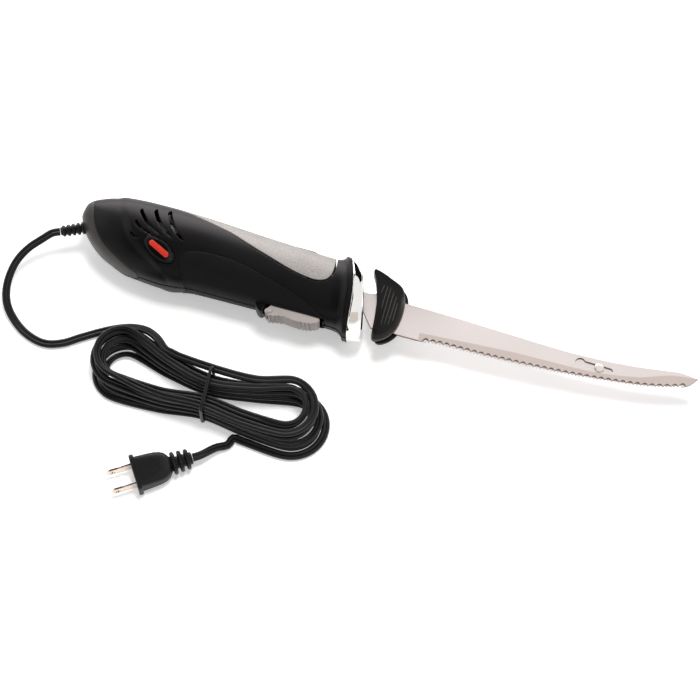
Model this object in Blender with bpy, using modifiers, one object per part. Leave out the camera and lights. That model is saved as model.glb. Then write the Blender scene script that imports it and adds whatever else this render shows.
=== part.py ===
"""Electric fillet knife with its mains cord, modelled piece by piece.

The knife lies on its left side.  +X runs along the blades to their tips, +Y goes to the
spine of the handle and -Y to the trigger, +Z goes up off the table.  The origin is on the
table, at the middle of the flat land on the collar's side.  All sizes are millimetres and
become metres where a mesh is made.
"""
import math

import bmesh
import bpy
import numpy as np
from mathutils import Matrix, Vector

MM = 0.001
GAP = 0.3                      # between pieces that touch
SPLIT = 0.3                    # between the two handle shells

# Handle
WIDTH = 46.0                   # over the collar and over the swell: it rests on both
HANDLE_LENGTH = 177.8          # from the lip's front face to the rear end
WALL = 2.6
SKIN = 1.2                     # grips, top panel and badges, let into the wall
SWELL_TOP = 23.3
SWELL_BOTTOM = -28.6
NECK_TOP = 21.6
NECK_BOTTOM = -21.9
NECK_HALF_WIDTH = 18.0
LIP_TOP = 25.0
LIP_BOTTOM = -26.2
LIP_X = -2.8
LIP_INSIDE = 0.4               # from the collar's side to the lip's
COLLAR_LEAN = math.tan(math.radians(14.7))
FRONT_LEAN = math.tan(math.radians(19.4))
HULL_POWER = 2.3               # 2 is an ellipse, more is squarer
AROUND = 20                    # points around the handle outside
AROUND_INSIDE = 14             # and inside
SCREW_RADIUS = 1.4
SCREW_HEAD_RADIUS = 2.7
SCREW_LENGTH = 20.0
BOSS_RADIUS = 3.6

# Collar and nose
COLLAR_WALL = 3.2
COLLAR_DEPTH = 10.1            # at the height of the axis
COLLAR_CROWN = 0.003           # the front bows forward, per mm of height squared
LIP_BOW = 2.9                  # how far the sides of the lip stand ahead of its top
NOSE_THICK = 2.0

# Trigger, switch and release button
TRIGGER_HALF_WIDTH = 5.6
TRIGGER_PIN_X = -45.5
TRIGGER_PIN_Y = -25.7
TRIGGER_PIN_RADIUS = 1.2
PIN_HEAD_RADIUS = 1.9
TRIGGER_TOP = -19.0
TRIGGER_TURN = 6.0             # degrees
TONGUE_HALF_WIDTH = 2.0
SWITCH_SIZE = (17.0, 7.5, 11.0)
PLUNGER_RADIUS = 1.5
BUTTON_LENGTH = 17.0
BUTTON_WIDTH = 9.0
BUTTON_PROUD = 1.3
BUTTON_TRAVEL = 1.8
BUTTON_X = -37.5

# Motor, on an axis along X
MOTOR_Y = -5.0
SHAFT_RADIUS = 1.6
ROTOR_RADIUS = 9.0
ROTOR_LENGTH = 24.0
ROTOR_PLACE = 50.6             # from the rear end
STATOR_LENGTH = 26.0
STATOR_HALF_HEIGHT = 14.4
STATOR_HALF_WIDTH = 17.2
COMMUTATOR_RADIUS = 5.0
COMMUTATOR_LENGTH = 7.0
BEARING_RADIUS = 5.0
BEARING_LENGTH = 4.0
FAN_RADIUS = 15.0
FAN_BLADES = 9
FAN_PLACE = 22.0               # from the rotor's middle

# Worm drive: one start on the worm, so a tooth passes with each turn
WHEEL_TEETH = 24
WHEEL_PITCH_RADIUS = 9.0
WORM_PITCH_RADIUS = 3.0
WHEEL_X = -62.0
WHEEL_HALF_WIDTH = 3.0
TOOTH_DEPTH = 0.6              # above the pitch line, and a backlash more below it
BACKLASH = 0.35
AXLE_RADIUS = 1.4
CRANK_THROW = 3.37
CRANK_RADIUS = 5.0
CRANK_HALF_WIDTH = 7.4
YOKE_NEAR = 3.8                # from the mid plane to the yoke's inner face
YOKE_FAR = 7.2
YOKE_FRAME = 2.0
DRIVE_TRAVEL = 3.0

# Blades
BLADE_THICK = 1.0
BLADE_APART = 0.1              # from the mid plane to each blade's inner face
BLADE_TIP = (219.0, 14.6)
EDGE_START_X = 50.0
SCALLOP_PITCH = 4.4
SCALLOP_DEPTH = 1.7
BEVEL_WIDTH = 5.0
TANG_HEIGHT = 11.0
TANG_MID_Y = 1.6
TANG_END_X = -32.0
RIVET_X = 159.3
RIVET_Y = 2.9
RIVET_HEAD_RADIUS = 2.9
RIVET_RADIUS = 1.5
GUARD_DEPTH = 8.2
EJECT_TRAVEL = 40.0

# Cord
CORD_RADIUS = 2.3
BOOT_PLACE = (5.0, -4.0)       # from the rear end, and from the axis
BOOT_DIRECTION = (-0.88, -0.475)
BOOT_LENGTH = 17.0
BOOT_RIB_RADIUS = 4.0
BOOT_RIBS = 5
HANK_MIDDLE = (-66.0, -86.5)
HANK_TURN = 2.0                # degrees from the handle's axis
HANK_BOW = (8.6, 3.0)          # of the rear and front ends towards the handle
HANK_REACH = (2.0, -3.2)       # of the rear and front ends beyond the half length
HANK_FAN = ((-1.0, 2.6), (-1.8, 1.0))   # rear and front, per layer, along and across
HANK_HALF_LENGTH = 77.0
HANK_END_RADIUS = 11.5         # to the innermost cord
HANK_WAIST = 3.6               # half the gap between the two runs at the tie
HANK_STEP = 5.3                # from turn to turn at the ends
HANK_WAIST_STEP = 6.0
HANK_LAYER = 5.4
HANK_LIFT = 2.2                # of the waist, where the tie goes under
LOOP_POINTS = 24
HANK_START = -1 / LOOP_POINTS  # turns, from the waist of the far run
HANK_END = 6 + 11 / LOOP_POINTS
TIE_RADIUS = 0.8

# Plug
PLUG_FACE = (-91.4, -147.6)    # middle of the flange's front face
PLUG_ANGLE = 36.5              # degrees, from the face back along the plug
PLUG_HALF_WIDTH = 12.0
PLUG_HALF_HEIGHT = 7.0
PLUG_LENGTH = 37.0
PRONG_SPACING = 12.7
PRONG_LENGTH = 16.0
PRONG_HEIGHT = 6.35
PRONG_THICK = 1.5
PRONG_ROOT = 8.0

MID = WIDTH / 2
LIP_HALF_WIDTH = MID - LIP_INSIDE
REAR_X = LIP_X - HANDLE_LENGTH
ROTOR_X = REAR_X + ROTOR_PLACE
FAN_X = ROTOR_X + FAN_PLACE
BOOT_FOOT = (REAR_X + BOOT_PLACE[0], BOOT_PLACE[1])
WHEEL_Y = MOTOR_Y + WHEEL_PITCH_RADIUS + WORM_PITCH_RADIUS

for stale in list(bpy.data.objects):
    bpy.data.objects.remove(stale, do_unlink=True)
for stale in list(bpy.data.collections):
    bpy.data.collections.remove(stale)
PARTS = bpy.data.collections.new("electric_fillet_knife")
CUTTERS = bpy.data.collections.new("cutters")
bpy.context.scene.collection.children.link(PARTS)
bpy.context.scene.collection.children.link(CUTTERS)


# Materials

def material(name, color, roughness, metallic=0.0):
    """A Principled material under its name, made once."""
    found = bpy.data.materials.get(name)
    if found:
        return found
    made = bpy.data.materials.new(name)
    made.use_nodes = True
    shader = made.node_tree.nodes["Principled BSDF"]
    shader.inputs["Base Color"].default_value = (*color, 1.0)
    shader.inputs["Roughness"].default_value = roughness
    shader.inputs["Metallic"].default_value = metallic
    made.diffuse_color = (*color, 1.0)
    return made


BLACK = material("moulded_black", (0.018, 0.017, 0.018), 0.42)
CAP_GREY = material("cap_grey", (0.12, 0.105, 0.10), 0.5)
SOFT_BLACK = material("soft_grip", (0.014, 0.014, 0.014), 0.75)
SILVER = material("silver_paint", (0.52, 0.50, 0.47), 0.35, 0.7)
TRIGGER_GREY = material("trigger_grey", (0.36, 0.32, 0.30), 0.4)
CHROME = material("chrome", (0.85, 0.85, 0.86), 0.05, 1.0)
BLADE_STEEL = material("blade_steel", (0.72, 0.68, 0.66), 0.3, 1.0)
SHAFT_STEEL = material("shaft_steel", (0.55, 0.55, 0.56), 0.3, 1.0)
LAMINATION = material("lamination_steel", (0.42, 0.43, 0.45), 0.4, 0.9)
COPPER = material("copper", (0.72, 0.33, 0.17), 0.35, 0.9)
CARBON = material("carbon", (0.05, 0.05, 0.05), 0.7)
GEAR_WHITE = material("gear_nylon", (0.78, 0.76, 0.70), 0.5)
BADGE_BLACK = material("badge_gloss", (0.01, 0.01, 0.01), 0.08)
CORD_BLACK = material("cord_black", (0.02, 0.02, 0.022), 0.4)
NICKEL = material("prong_nickel", (0.70, 0.62, 0.56), 0.25, 1.0)


# Modelling helpers

def keep(name, mesh, finish, collection=PARTS):
    """Turn a mesh in millimetres into an object in metres."""
    mesh.transform(Matrix.Scale(MM, 4))
    made = bpy.data.objects.new(name, mesh)
    if finish:
        mesh.materials.append(finish)
    collection.objects.link(made)
    if collection is CUTTERS:
        made.hide_render = True
        made.display_type = "WIRE"
    return made


def from_bmesh(name, builder, finish=None, collection=PARTS, smooth=None):
    """Finish a bmesh: faces out, an object, and smooth shading under an angle."""
    bmesh.ops.recalc_face_normals(builder, faces=builder.faces)
    mesh = bpy.data.meshes.new(name)
    builder.to_mesh(mesh)
    builder.free()
    made = keep(name, mesh, finish, collection)
    if smooth:
        mesh.shade_smooth()
        mesh.set_sharp_from_angle(angle=math.radians(smooth))
    return made


def loft(name, rings, finish=None, collection=PARTS, closed=False, smooth=40):
    """Skin rings of equal point count, capped at both ends or closed into a loop."""
    builder = bmesh.new()
    rows = [[builder.verts.new(tuple(point)) for point in ring] for ring in rings]
    count = len(rows[0])
    last = len(rows) if closed else len(rows) - 1
    for row in range(last):
        here, there = rows[row], rows[(row + 1) % len(rows)]
        for i in range(count):
            j = (i + 1) % count
            builder.faces.new((here[i], here[j], there[j], there[i]))
    bmesh.ops.triangulate(builder, faces=builder.faces[:])
    if not closed:
        builder.faces.new(rows[0])
        builder.faces.new(rows[-1])
    return from_bmesh(name, builder, finish, collection, smooth)


def stack(name, levels, finish=None, collection=PARTS, smooth=30):
    """Loft outlines in XY, each at its own z."""
    rings = [[(x, y, z) for x, y in outline] for outline, z in levels]
    return loft(name, rings, finish, collection, smooth=smooth)


def plate(name, outline, z_low, z_high, finish=None, collection=PARTS):
    """A flat outline in XY between two heights."""
    return stack(name, [(outline, z_low), (outline, z_high)], finish, collection)


def block(name, low, high, finish=None, collection=PARTS):
    """A box between two corners."""
    builder = bmesh.new()
    bmesh.ops.create_cube(builder, size=1.0)
    size = Vector(high) - Vector(low)
    bmesh.ops.scale(builder, vec=size, verts=builder.verts)
    bmesh.ops.translate(builder, vec=Vector(low) + size / 2, verts=builder.verts)
    return from_bmesh(name, builder, finish, collection)


TO_AXIS = {"X": Matrix.Rotation(math.pi / 2, 3, "Y"),
           "Y": Matrix.Rotation(-math.pi / 2, 3, "X"),
           "Z": Matrix.Identity(3)}


def rod(name, start, length, radius, axis="Z", sides=24, finish=None, collection=PARTS):
    """A cylinder from a start point along +X, +Y or +Z."""
    builder = bmesh.new()
    bmesh.ops.create_cone(builder, cap_ends=True, segments=sides,
                          radius1=radius, radius2=radius, depth=length)
    bmesh.ops.translate(builder, vec=(0, 0, length / 2), verts=builder.verts)
    bmesh.ops.rotate(builder, matrix=TO_AXIS[axis], verts=builder.verts)
    bmesh.ops.translate(builder, vec=start, verts=builder.verts)
    return from_bmesh(name, builder, finish, collection, smooth=40)


def turned(name, profile, start, axis="X", sides=24, finish=None, collection=PARTS):
    """Revolve (distance, radius) points about an axis; both ends are capped."""
    turn = TO_AXIS[axis]
    angles = [2 * math.pi * i / sides for i in range(sides)]
    rings = []
    for distance, radius in profile:
        ring = [turn @ Vector((radius * math.cos(a), radius * math.sin(a), distance))
                + Vector(start) for a in angles]
        rings.append(ring)
    return loft(name, rings, finish, collection)


def tube(name, points, radius, finish=None, resolution=2, cyclic=False, collection=PARTS):
    """A POLY curve with a round bevel, made a welded mesh."""
    curve = bpy.data.curves.new(name, "CURVE")
    curve.dimensions = "3D"
    curve.bevel_depth = radius
    curve.bevel_resolution = resolution
    curve.use_fill_caps = True
    spline = curve.splines.new("POLY")
    spline.points.add(len(points) - 1)
    for place, point in zip(spline.points, points):
        place.co = (*point, 1.0)
    spline.use_cyclic_u = cyclic
    source = bpy.data.objects.new(name + "_curve", curve)
    bpy.context.scene.collection.objects.link(source)
    bpy.context.view_layer.update()
    evaluated = source.evaluated_get(bpy.context.evaluated_depsgraph_get())
    mesh = bpy.data.meshes.new_from_object(evaluated)
    bpy.data.objects.remove(source, do_unlink=True)
    builder = bmesh.new()
    builder.from_mesh(mesh)
    bmesh.ops.remove_doubles(builder, verts=builder.verts, dist=1e-4)
    return from_bmesh(name, builder, finish, collection, smooth=60)


def combine(target, tool, operation):
    """Add a Boolean modifier, with its tool among the cutters."""
    for holder in list(tool.users_collection):
        holder.objects.unlink(tool)
    CUTTERS.objects.link(tool)
    tool.hide_render = True
    tool.display_type = "WIRE"
    modifier = target.modifiers.new(tool.name, "BOOLEAN")
    modifier.object = tool
    modifier.operation = operation
    modifier.solver = "EXACT"
    return target


def cut(target, *tools):
    for tool in tools:
        combine(target, tool, "DIFFERENCE")
    return target


def fuse(target, *tools):
    for tool in tools:
        combine(target, tool, "UNION")
    return target


def common(target, *tools):
    for tool in tools:
        combine(target, tool, "INTERSECT")
    return target


def arc(middle, radius, start, end, steps):
    """Points on an arc in XY, angles in degrees."""
    angles = np.radians(np.linspace(start, end, steps))
    return [(middle[0] + radius * math.cos(a), middle[1] + radius * math.sin(a)) for a in angles]


def rounded(x_low, y_low, x_high, y_high, radius, steps=4):
    """A rectangle in XY with round corners."""
    corners = ((x_high - radius, y_high - radius, 0), (x_low + radius, y_high - radius, 90),
               (x_low + radius, y_low + radius, 180), (x_high - radius, y_low + radius, 270))
    return [point for x, y, start in corners
            for point in arc((x, y), radius, start, start + 90, steps)]


def grown(outline, distance):
    """Offset a closed outline outwards by a distance, corner by corner."""
    points = np.array(outline, float)
    before = points - np.roll(points, 1, axis=0)
    after = np.roll(points, -1, axis=0) - points
    area = np.sum(points[:, 0] * np.roll(points[:, 1], -1) - np.roll(points[:, 0], -1) * points[:, 1])
    side = 1.0 if area > 0 else -1.0

    def normals(edge):
        unit = edge / np.linalg.norm(edge, axis=1)[:, None]
        return side * np.stack([unit[:, 1], -unit[:, 0]], axis=1)

    first, second = normals(before), normals(after)
    bisector = first + second
    scale = 2.0 / np.maximum(np.sum(bisector * bisector, axis=1), 0.5)
    return [tuple(p) for p in points + distance * bisector * scale[:, None]]


def monotone(knots, values, at):
    """Fritsch-Carlson cubic through knots, which never overshoots them."""
    knots, values = np.asarray(knots, float), np.asarray(values, float)
    width = np.diff(knots)
    slope = np.diff(values) / width
    tangent = np.zeros(len(knots))
    for i in range(1, len(knots) - 1):
        if slope[i - 1] * slope[i] > 0:
            near = 2 * width[i] + width[i - 1]
            far = width[i] + 2 * width[i - 1]
            tangent[i] = (near + far) / (near / slope[i - 1] + far / slope[i])
    tangent[0], tangent[-1] = slope[0], slope[-1]
    at = np.clip(np.asarray(at, float), knots[0], knots[-1])
    cell = np.clip(np.searchsorted(knots, at) - 1, 0, len(width) - 1)
    t = (at - knots[cell]) / width[cell]
    return ((2 * t**3 - 3 * t**2 + 1) * values[cell] + (t**3 - 2 * t**2 + t) * width[cell] * tangent[cell]
            + (3 * t**2 - 2 * t**3) * values[cell + 1] + (t**3 - t**2) * width[cell] * tangent[cell + 1])


def smoothstep(t):
    t = np.clip(t, 0.0, 1.0)
    return t * t * (3 - 2 * t)


def smooth_route(points, spacing):
    """A centripetal Catmull-Rom curve through the points, read at an even spacing."""
    anchors = np.array(points, float)
    padded = np.vstack([2 * anchors[0] - anchors[1], anchors, 2 * anchors[-1] - anchors[-2]])
    fine = []
    for p0, p1, p2, p3 in zip(padded, padded[1:], padded[2:], padded[3:]):
        t0 = 0.0
        t1 = t0 + math.sqrt(np.linalg.norm(p1 - p0))
        t2 = t1 + math.sqrt(np.linalg.norm(p2 - p1))
        t3 = t2 + math.sqrt(np.linalg.norm(p3 - p2))
        for t in np.linspace(t1, t2, 17)[:-1]:
            a1 = (t1 - t) / (t1 - t0) * p0 + (t - t0) / (t1 - t0) * p1
            a2 = (t2 - t) / (t2 - t1) * p1 + (t - t1) / (t2 - t1) * p2
            a3 = (t3 - t) / (t3 - t2) * p2 + (t - t2) / (t3 - t2) * p3
            b1 = (t2 - t) / (t2 - t0) * a1 + (t - t0) / (t2 - t0) * a2
            b2 = (t3 - t) / (t3 - t1) * a2 + (t - t1) / (t3 - t1) * a3
            fine.append((t2 - t) / (t2 - t1) * b1 + (t - t1) / (t2 - t1) * b2)
    fine = np.array(fine + [anchors[-1]])
    run = np.concatenate([[0.0], np.cumsum(np.linalg.norm(np.diff(fine, axis=0), axis=1))])
    at = np.linspace(0.0, run[-1], max(2, round(run[-1] / spacing) + 1))
    return np.stack([np.interp(at, run, fine[:, k]) for k in range(3)], axis=1)


# Handle form: rows of x at the axis, top, bottom and half width

def along_handle(share):
    """X at a share of the handle's length, from the rear end."""
    return REAR_X + share * HANDLE_LENGTH


HULL_ROWS = (
    (REAR_X, SWELL_TOP - 16.8, SWELL_BOTTOM + 29.2, MID - 19.0),
    (along_handle(0.0124), SWELL_TOP - 12.2, SWELL_BOTTOM + 24.4, MID - 12.6),
    (along_handle(0.0484), SWELL_TOP - 6.9, SWELL_BOTTOM + 16.0, MID - 6.9),
    (along_handle(0.1271), SWELL_TOP - 2.5, SWELL_BOTTOM + 6.8, MID - 2.5),
    (along_handle(0.2396), SWELL_TOP - 0.5, SWELL_BOTTOM + 1.1, MID - 0.4),
    (along_handle(0.3521), SWELL_TOP, SWELL_BOTTOM, MID),
    (along_handle(0.4702), NECK_TOP + 1.5, NECK_BOTTOM - 2.4, MID - 1.0),
    (along_handle(0.622), NECK_TOP + 0.9, NECK_BOTTOM - 1.6, (NECK_HALF_WIDTH + MID - 1.0) / 2),
    (along_handle(0.7739), NECK_TOP + 0.4, NECK_BOTTOM - 0.8, NECK_HALF_WIDTH + 0.5),
    (LIP_X - 11.2, NECK_TOP, NECK_BOTTOM, NECK_HALF_WIDTH))
LIP_ROWS = (
    (LIP_X - 7.2, NECK_TOP + 0.4, NECK_BOTTOM - 0.3, NECK_HALF_WIDTH + 0.5),
    (LIP_X - 4.7, NECK_TOP + 1.3, NECK_BOTTOM - 1.3, NECK_HALF_WIDTH + 1.8),
    (LIP_X - 3.0, NECK_TOP + 2.4, NECK_BOTTOM - 2.8, NECK_HALF_WIDTH + 3.2),
    (LIP_X - 2.2, LIP_TOP, LIP_BOTTOM, LIP_HALF_WIDTH),
    (LIP_X, LIP_TOP, LIP_BOTTOM, LIP_HALF_WIDTH))
FLARE_X = HULL_ROWS[-1][0]
LEAN_FROM = LIP_X - 47.0


def lean(x):
    """How far the section at x leans back, as a slope, growing along the neck."""
    return COLLAR_LEAN * smoothstep((x - LEAN_FROM) / (FLARE_X - LEAN_FROM))


def bow(x):
    """How far the sides at x stand ahead of the spine, growing over the flare."""
    return LIP_BOW * smoothstep((x - LIP_X + 12.0) / 9.0)


def hull_size(x, flared):
    """Top, bottom and half width of the handle at x."""
    rows = np.array(HULL_ROWS + (LIP_ROWS if flared else ()))
    return [float(monotone(rows[:, 0], rows[:, k], x)) for k in (1, 2, 3)]


def oval(x, slope, top, bottom, half_width, count=AROUND, power=HULL_POWER, crown=0.0):
    """A closed superellipse across X, from the spine round by the right side."""
    ring = []
    for i in range(count):
        a = 2 * math.pi * i / count
        c, s = math.cos(a), math.sin(a)
        y = (top + bottom) / 2 + (top - bottom) / 2 * math.copysign(abs(c) ** (2 / power), c)
        z = half_width * math.copysign(abs(s) ** (2 / power), s)
        ring.append((x - slope * y - crown * y * y, y, MID + z))
    return ring


def hull(name, inset, count=AROUND, flared=True, reach=LIP_X, finish=None, collection=CUTTERS):
    """The solid handle form, drawn in all over by an inset, up to a front x."""
    shares = (0.0, 0.0067, 0.0197, 0.0394, 0.0675, 0.1069, 0.1575, 0.225, 0.3037, 0.3937, 0.5062, 0.6412,
              0.7762, 0.9055)
    stations = [REAR_X + inset + share * (HANDLE_LENGTH - inset) for share in shares]
    if flared:
        stations += [LIP_X - back for back in (11.2, 7.6, 5.4, 3.9, 3.0, 2.2, 0.0)]
    else:
        stations += [FLARE_X, reach]
    rings = []
    for x in stations:
        top, bottom, half = hull_size(x - inset * (x < along_handle(0.14)), flared)
        rings.append(oval(x + bow(x), lean(x), top - inset, bottom + inset, half - inset, count,
                          crown=bow(x) / LIP_TOP ** 2))
    return loft(name, rings, finish, collection)


def skin_patch(name, outline, proud, depth, finish=None, collection=PARTS):
    """The part of the handle's outer skin inside an outline seen from the side."""
    patch = hull(name, -proud, finish=finish, collection=collection)
    cut(patch, hull(name + "_under", depth, AROUND_INSIDE))
    return common(patch, plate(name + "_outline", outline, -WIDTH, 2 * WIDTH, collection=CUTTERS))


PANEL_OUTLINE = [(-134, 40), (-131, 24.0), (-122.6, 21.0), (-113.6, 18.9), (-104.6, 16.6), (-95, 14.4),
                 (-82.8, 11.7), (-68.2, 7.1), (-53.9, 3.2), (-40.1, -0.4), (-29.4, -2.1), (-22.5, -2.2), (-17.4, -0.2),
                 (-14.9, 3.4), (-14.4, 8.0), (-15.4, 15.2), (-17.8, 24), (-21, 40)]
GRIP_OUTLINE = [(-107.9, -16.8), (-107.0, -13.4), (-104.2, -10.6), (-95.4, -7.6), (-85, -6.6),
                (-75.6, -6.5), (-65, -7.6), (-55.8, -9.4), (-45, -11.4), (-35.7, -13.5), (-21.9, -17.2),
                (-13.0, -20.4), (-8.5, -24.0), (-7.0, -40), (-93, -40), (-98.0, -27.5), (-103.6, -24.0)]
SEAM_OUTLINE = [(REAR_X + back, y) for back, y in (
    (3.2, 40), (4.2, 18), (5.4, 12), (7.0, 6), (9.6, -2), (12.6, -8), (17.0, -13.8), (23.0, -18.6),
    (31.0, -22.8), (41.0, -26.6), (49.0, -28.6), (56.0, -40))] + [(60, -40), (60, 40)]
BADGE_MIDDLE = (REAR_X + 58.8, -14.1)
BADGE_LENGTH = 24.0
BADGE_HEIGHT = 12.0
BADGE_TILT = -22.4

# Vents: head and tip, each x from the rear end and y, width at the head, and bow of the leading edge
VENTS = ((39.0, 10.2, 58.0, -5.2, 4.0, 1.9),
         (47.9, 13.2, 64.6, -4.9, 4.2, 1.9),
         (56.6, 15.4, 72.0, -4.4, 4.4, 1.9),
         (38.7, 0.6, 51.0, -5.6, 3.4, 1.2),
         (38.3, -7.6, 44.6, -10.2, 3.0, 0.7))


def badge_outline(margin):
    turn = math.radians(BADGE_TILT)
    long, short = BADGE_LENGTH / 2 + margin, BADGE_HEIGHT / 2 + margin
    points = []
    for i in range(18):
        a = 2 * math.pi * i / 18
        u, v = long * math.cos(a), short * math.sin(a)
        points.append((BADGE_MIDDLE[0] + u * math.cos(turn) - v * math.sin(turn),
                       BADGE_MIDDLE[1] + u * math.sin(turn) + v * math.cos(turn)))
    return points


def vent_outline(head_x, head_y, tip_x, tip_y, width, bow):
    """A gill: two bowed edges from a broad head to a narrow tip."""
    head, tip = np.array((REAR_X + head_x, head_y)), np.array((REAR_X + tip_x, tip_y))
    along = tip - head
    across = np.array((along[1], -along[0])) / np.linalg.norm(along)
    leading = [head + along * t + across * bow * 4 * t * (1 - t) for t in (0.0, 0.25, 0.6, 1.0)]
    trailing = [head + along * t + across * (bow * 4 * t * (1 - t) + width * math.sqrt(1 - t) * (0.55 + 0.45 * t))
                for t in (0.92, 0.6, 0.3, 0.12)]
    return [tuple(p) for p in leading + trailing]


def half_space(name, right):
    """Everything on one side of the mid plane, less half the split."""
    low = MID + SPLIT / 2 if right else -WIDTH
    high = 2 * WIDTH if right else MID - SPLIT / 2
    return block(name, (REAR_X - WIDTH, -2 * WIDTH, low), (WIDTH, 2 * WIDTH, high), collection=CUTTERS)


TRIGGER_WINDOW = ((TRIGGER_PIN_X - 3.6, -45, MID - TRIGGER_HALF_WIDTH - 0.6),
                  (-12.4, -15.5, MID + TRIGGER_HALF_WIDTH + 0.6))
BUTTON_TOP = hull_size(BUTTON_X, True)[0] + BUTTON_PROUD


def button_outline(margin):
    """The button seen from the spine, in X and Z."""
    half_length, half_width = BUTTON_LENGTH / 2 + margin, BUTTON_WIDTH / 2 + margin
    return rounded(BUTTON_X - half_length, MID - half_width, BUTTON_X + half_length,
                   MID + half_width, 3.0 + margin)


def button_prism(name, margin, y_low, y_high, finish=None, collection=CUTTERS):
    """The button's outline between two heights, leaning with the spine."""
    rings = [[(x - lean(BUTTON_X) * (y - BUTTON_TOP), y, z) for x, z in button_outline(margin)]
             for y in (y_low, y_high)]
    return loft(name, rings, finish, collection)


# Handle shells: one blank, split at the mid plane

# Each screw's x and y, and the height of its head's seat
SCREWS = ((ROTOR_X + 32.5, 10.8, MID - 16.0), (ROTOR_X + 46.0, -13.0, MID - 13.5),
          (LIP_X - 8.2, 14.0, MID - 11.5), (ROTOR_X - 24.5, 14.5, MID - 14.0))
BEARING_X = (ROTOR_X - 31.0, ROTOR_X + 34.5)
SPRING_SEAT_Y = -12.2


def web(name, x_low, x_high):
    """A bulkhead across the handle, bedded into the wall."""
    rings = []
    for x in (x_low, x_high):
        top, bottom, half = hull_size(x, False)
        inset = WALL - 1.0
        rings.append(oval(x, lean(x), top - inset, bottom + inset, half - inset, 12))
    return loft(name, rings, collection=CUTTERS)


def stator_outline(margin):
    """Motor section in Y and Z."""
    return rounded(MOTOR_Y - STATOR_HALF_HEIGHT - margin, MID - STATOR_HALF_WIDTH - margin,
                   MOTOR_Y + STATOR_HALF_HEIGHT + margin, MID + STATOR_HALF_WIDTH + margin,
                   8.5 + margin, 3)


def along_x(name, outline_yz, x_low, x_high, finish=None, collection=PARTS, smooth=30):
    """An outline in Y and Z carried along X."""
    rings = [[(x, y, z) for y, z in outline_yz] for x in (x_low, x_high)]
    return loft(name, rings, finish, collection, smooth=smooth)


def tongue_outline(radius):
    """The trigger's hinge tongue: round about the pin, rising into the belly."""
    pin = (TRIGGER_PIN_X, TRIGGER_PIN_Y)
    return arc(pin, radius, -130, 20, 7) + [(TRIGGER_PIN_X + radius, -19.0), (TRIGGER_PIN_X - 5.5, -19.0),
                                            (TRIGGER_PIN_X - 5.5, TRIGGER_PIN_Y - 1.0)]


LUG_OUTLINE = [(-56.5, -21.0), (-55.2, -24.2), (-53.0, -26.6), (-50.8, -27.3), (-49.5, -26.6),
               (-49.2, -21.0)]

blank = hull("handle_blank", 0.0)
cut(blank, hull("handle_cavity", WALL, AROUND_INSIDE, flared=False, reach=LIP_X + 12))
STATOR_ENDS = (ROTOR_X - STATOR_LENGTH / 2, ROTOR_X + STATOR_LENGTH / 2)
for number, x in enumerate(BEARING_X):
    bearing_web = web(f"bearing_web_{number}", x + 0.5, x + BEARING_LENGTH - 0.5)
    passage_top = (-11.8, -18.2)[number]
    cut(bearing_web, rod(f"bearing_bed_{number}", (x - 1, MOTOR_Y, MID), BEARING_LENGTH + 2,
                         BEARING_RADIUS + GAP, "X", 16, collection=CUTTERS),
        block(f"bearing_passage_{number}", (x - 1, -26.5, MID - 3.2), (x + 5, passage_top, MID + 3.2),
              collection=CUTTERS))
    fuse(blank, bearing_web)
for number, x in enumerate((STATOR_ENDS[0] + 0.6, STATOR_ENDS[1] - 3.0)):
    stator_web = web(f"stator_web_{number}", x, x + 2.4)
    cut(stator_web, along_x(f"stator_bed_{number}", stator_outline(GAP), x - 1, x + 4, collection=CUTTERS),
        block(f"stator_passage_{number}", (x - 1, -28, MID - 3.2), (x + 4, -18.2, MID + 3.2),
              collection=CUTTERS))
    fuse(blank, stator_web)


def wall_height(x, y, inset):
    """Half the thickness of the handle, drawn in by an inset, through a point seen from the side."""
    top, bottom, half = (size - inset for size in np.array(hull_size(x, False)) * (1, -1, 1))
    high = (top - bottom) / 2
    share = min(abs(y - high) / ((top + bottom) / 2), 0.999)
    return half * (1 - share ** HULL_POWER) ** (1 / HULL_POWER)


for number, (x, y, head_z) in enumerate(SCREWS):
    reach = wall_height(x, math.copysign(abs(y) + BOSS_RADIUS, y), 1.9)
    fuse(blank, rod(f"screw_boss_{number}", (x, y, MID - reach), 2 * reach, BOSS_RADIUS,
                    sides=10, collection=CUTTERS))
axle_reach = hull_size(WHEEL_X, False)[2] - WALL
for side in (-1, 1):
    low = MID + (CRANK_HALF_WIDTH + GAP if side > 0 else -axle_reach - 0.4)
    fuse(blank, rod(f"axle_boss_{side}", (WHEEL_X, WHEEL_Y, low),
                    axle_reach + 0.4 - CRANK_HALF_WIDTH - GAP, 3.4, sides=10, collection=CUTTERS))
fuse(blank, block("spring_seat", (-25.5, SPRING_SEAT_Y, MID - 16.0), (-18.5, SPRING_SEAT_Y + 2.4, MID + 16.0),
                  collection=CUTTERS),
     block("switch_shelf", (-42.0, -12.0, MID - 16.5), (-34.0, -10.0, MID + 16.5), collection=CUTTERS))
switch_low = (-48.0, -16.5, MID - SWITCH_SIZE[2] / 2)
switch_high = tuple(low + size for low, size in zip(switch_low, SWITCH_SIZE))
cut(blank, block("switch_bed", tuple(v - GAP for v in switch_low), tuple(v + GAP for v in switch_high),
                 collection=CUTTERS))
cut(blank, block("trigger_window", *TRIGGER_WINDOW, collection=CUTTERS))
cut(blank, rod("wheel_axle_bore", (WHEEL_X, WHEEL_Y, MID - axle_reach + 1.0), 2 * axle_reach - 2.0,
               AXLE_RADIUS + GAP, sides=12, collection=CUTTERS))
for number, (x, y, head_z) in enumerate(SCREWS):
    cut(blank, rod(f"screw_bore_{number}", (x, y, 1.0), head_z + SCREW_LENGTH, SCREW_RADIUS + GAP,
                   sides=8, collection=CUTTERS),
        rod(f"screw_sink_{number}", (x, y, -1.0), head_z + 1.0, SCREW_HEAD_RADIUS + GAP,
            sides=12, collection=CUTTERS))
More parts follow.
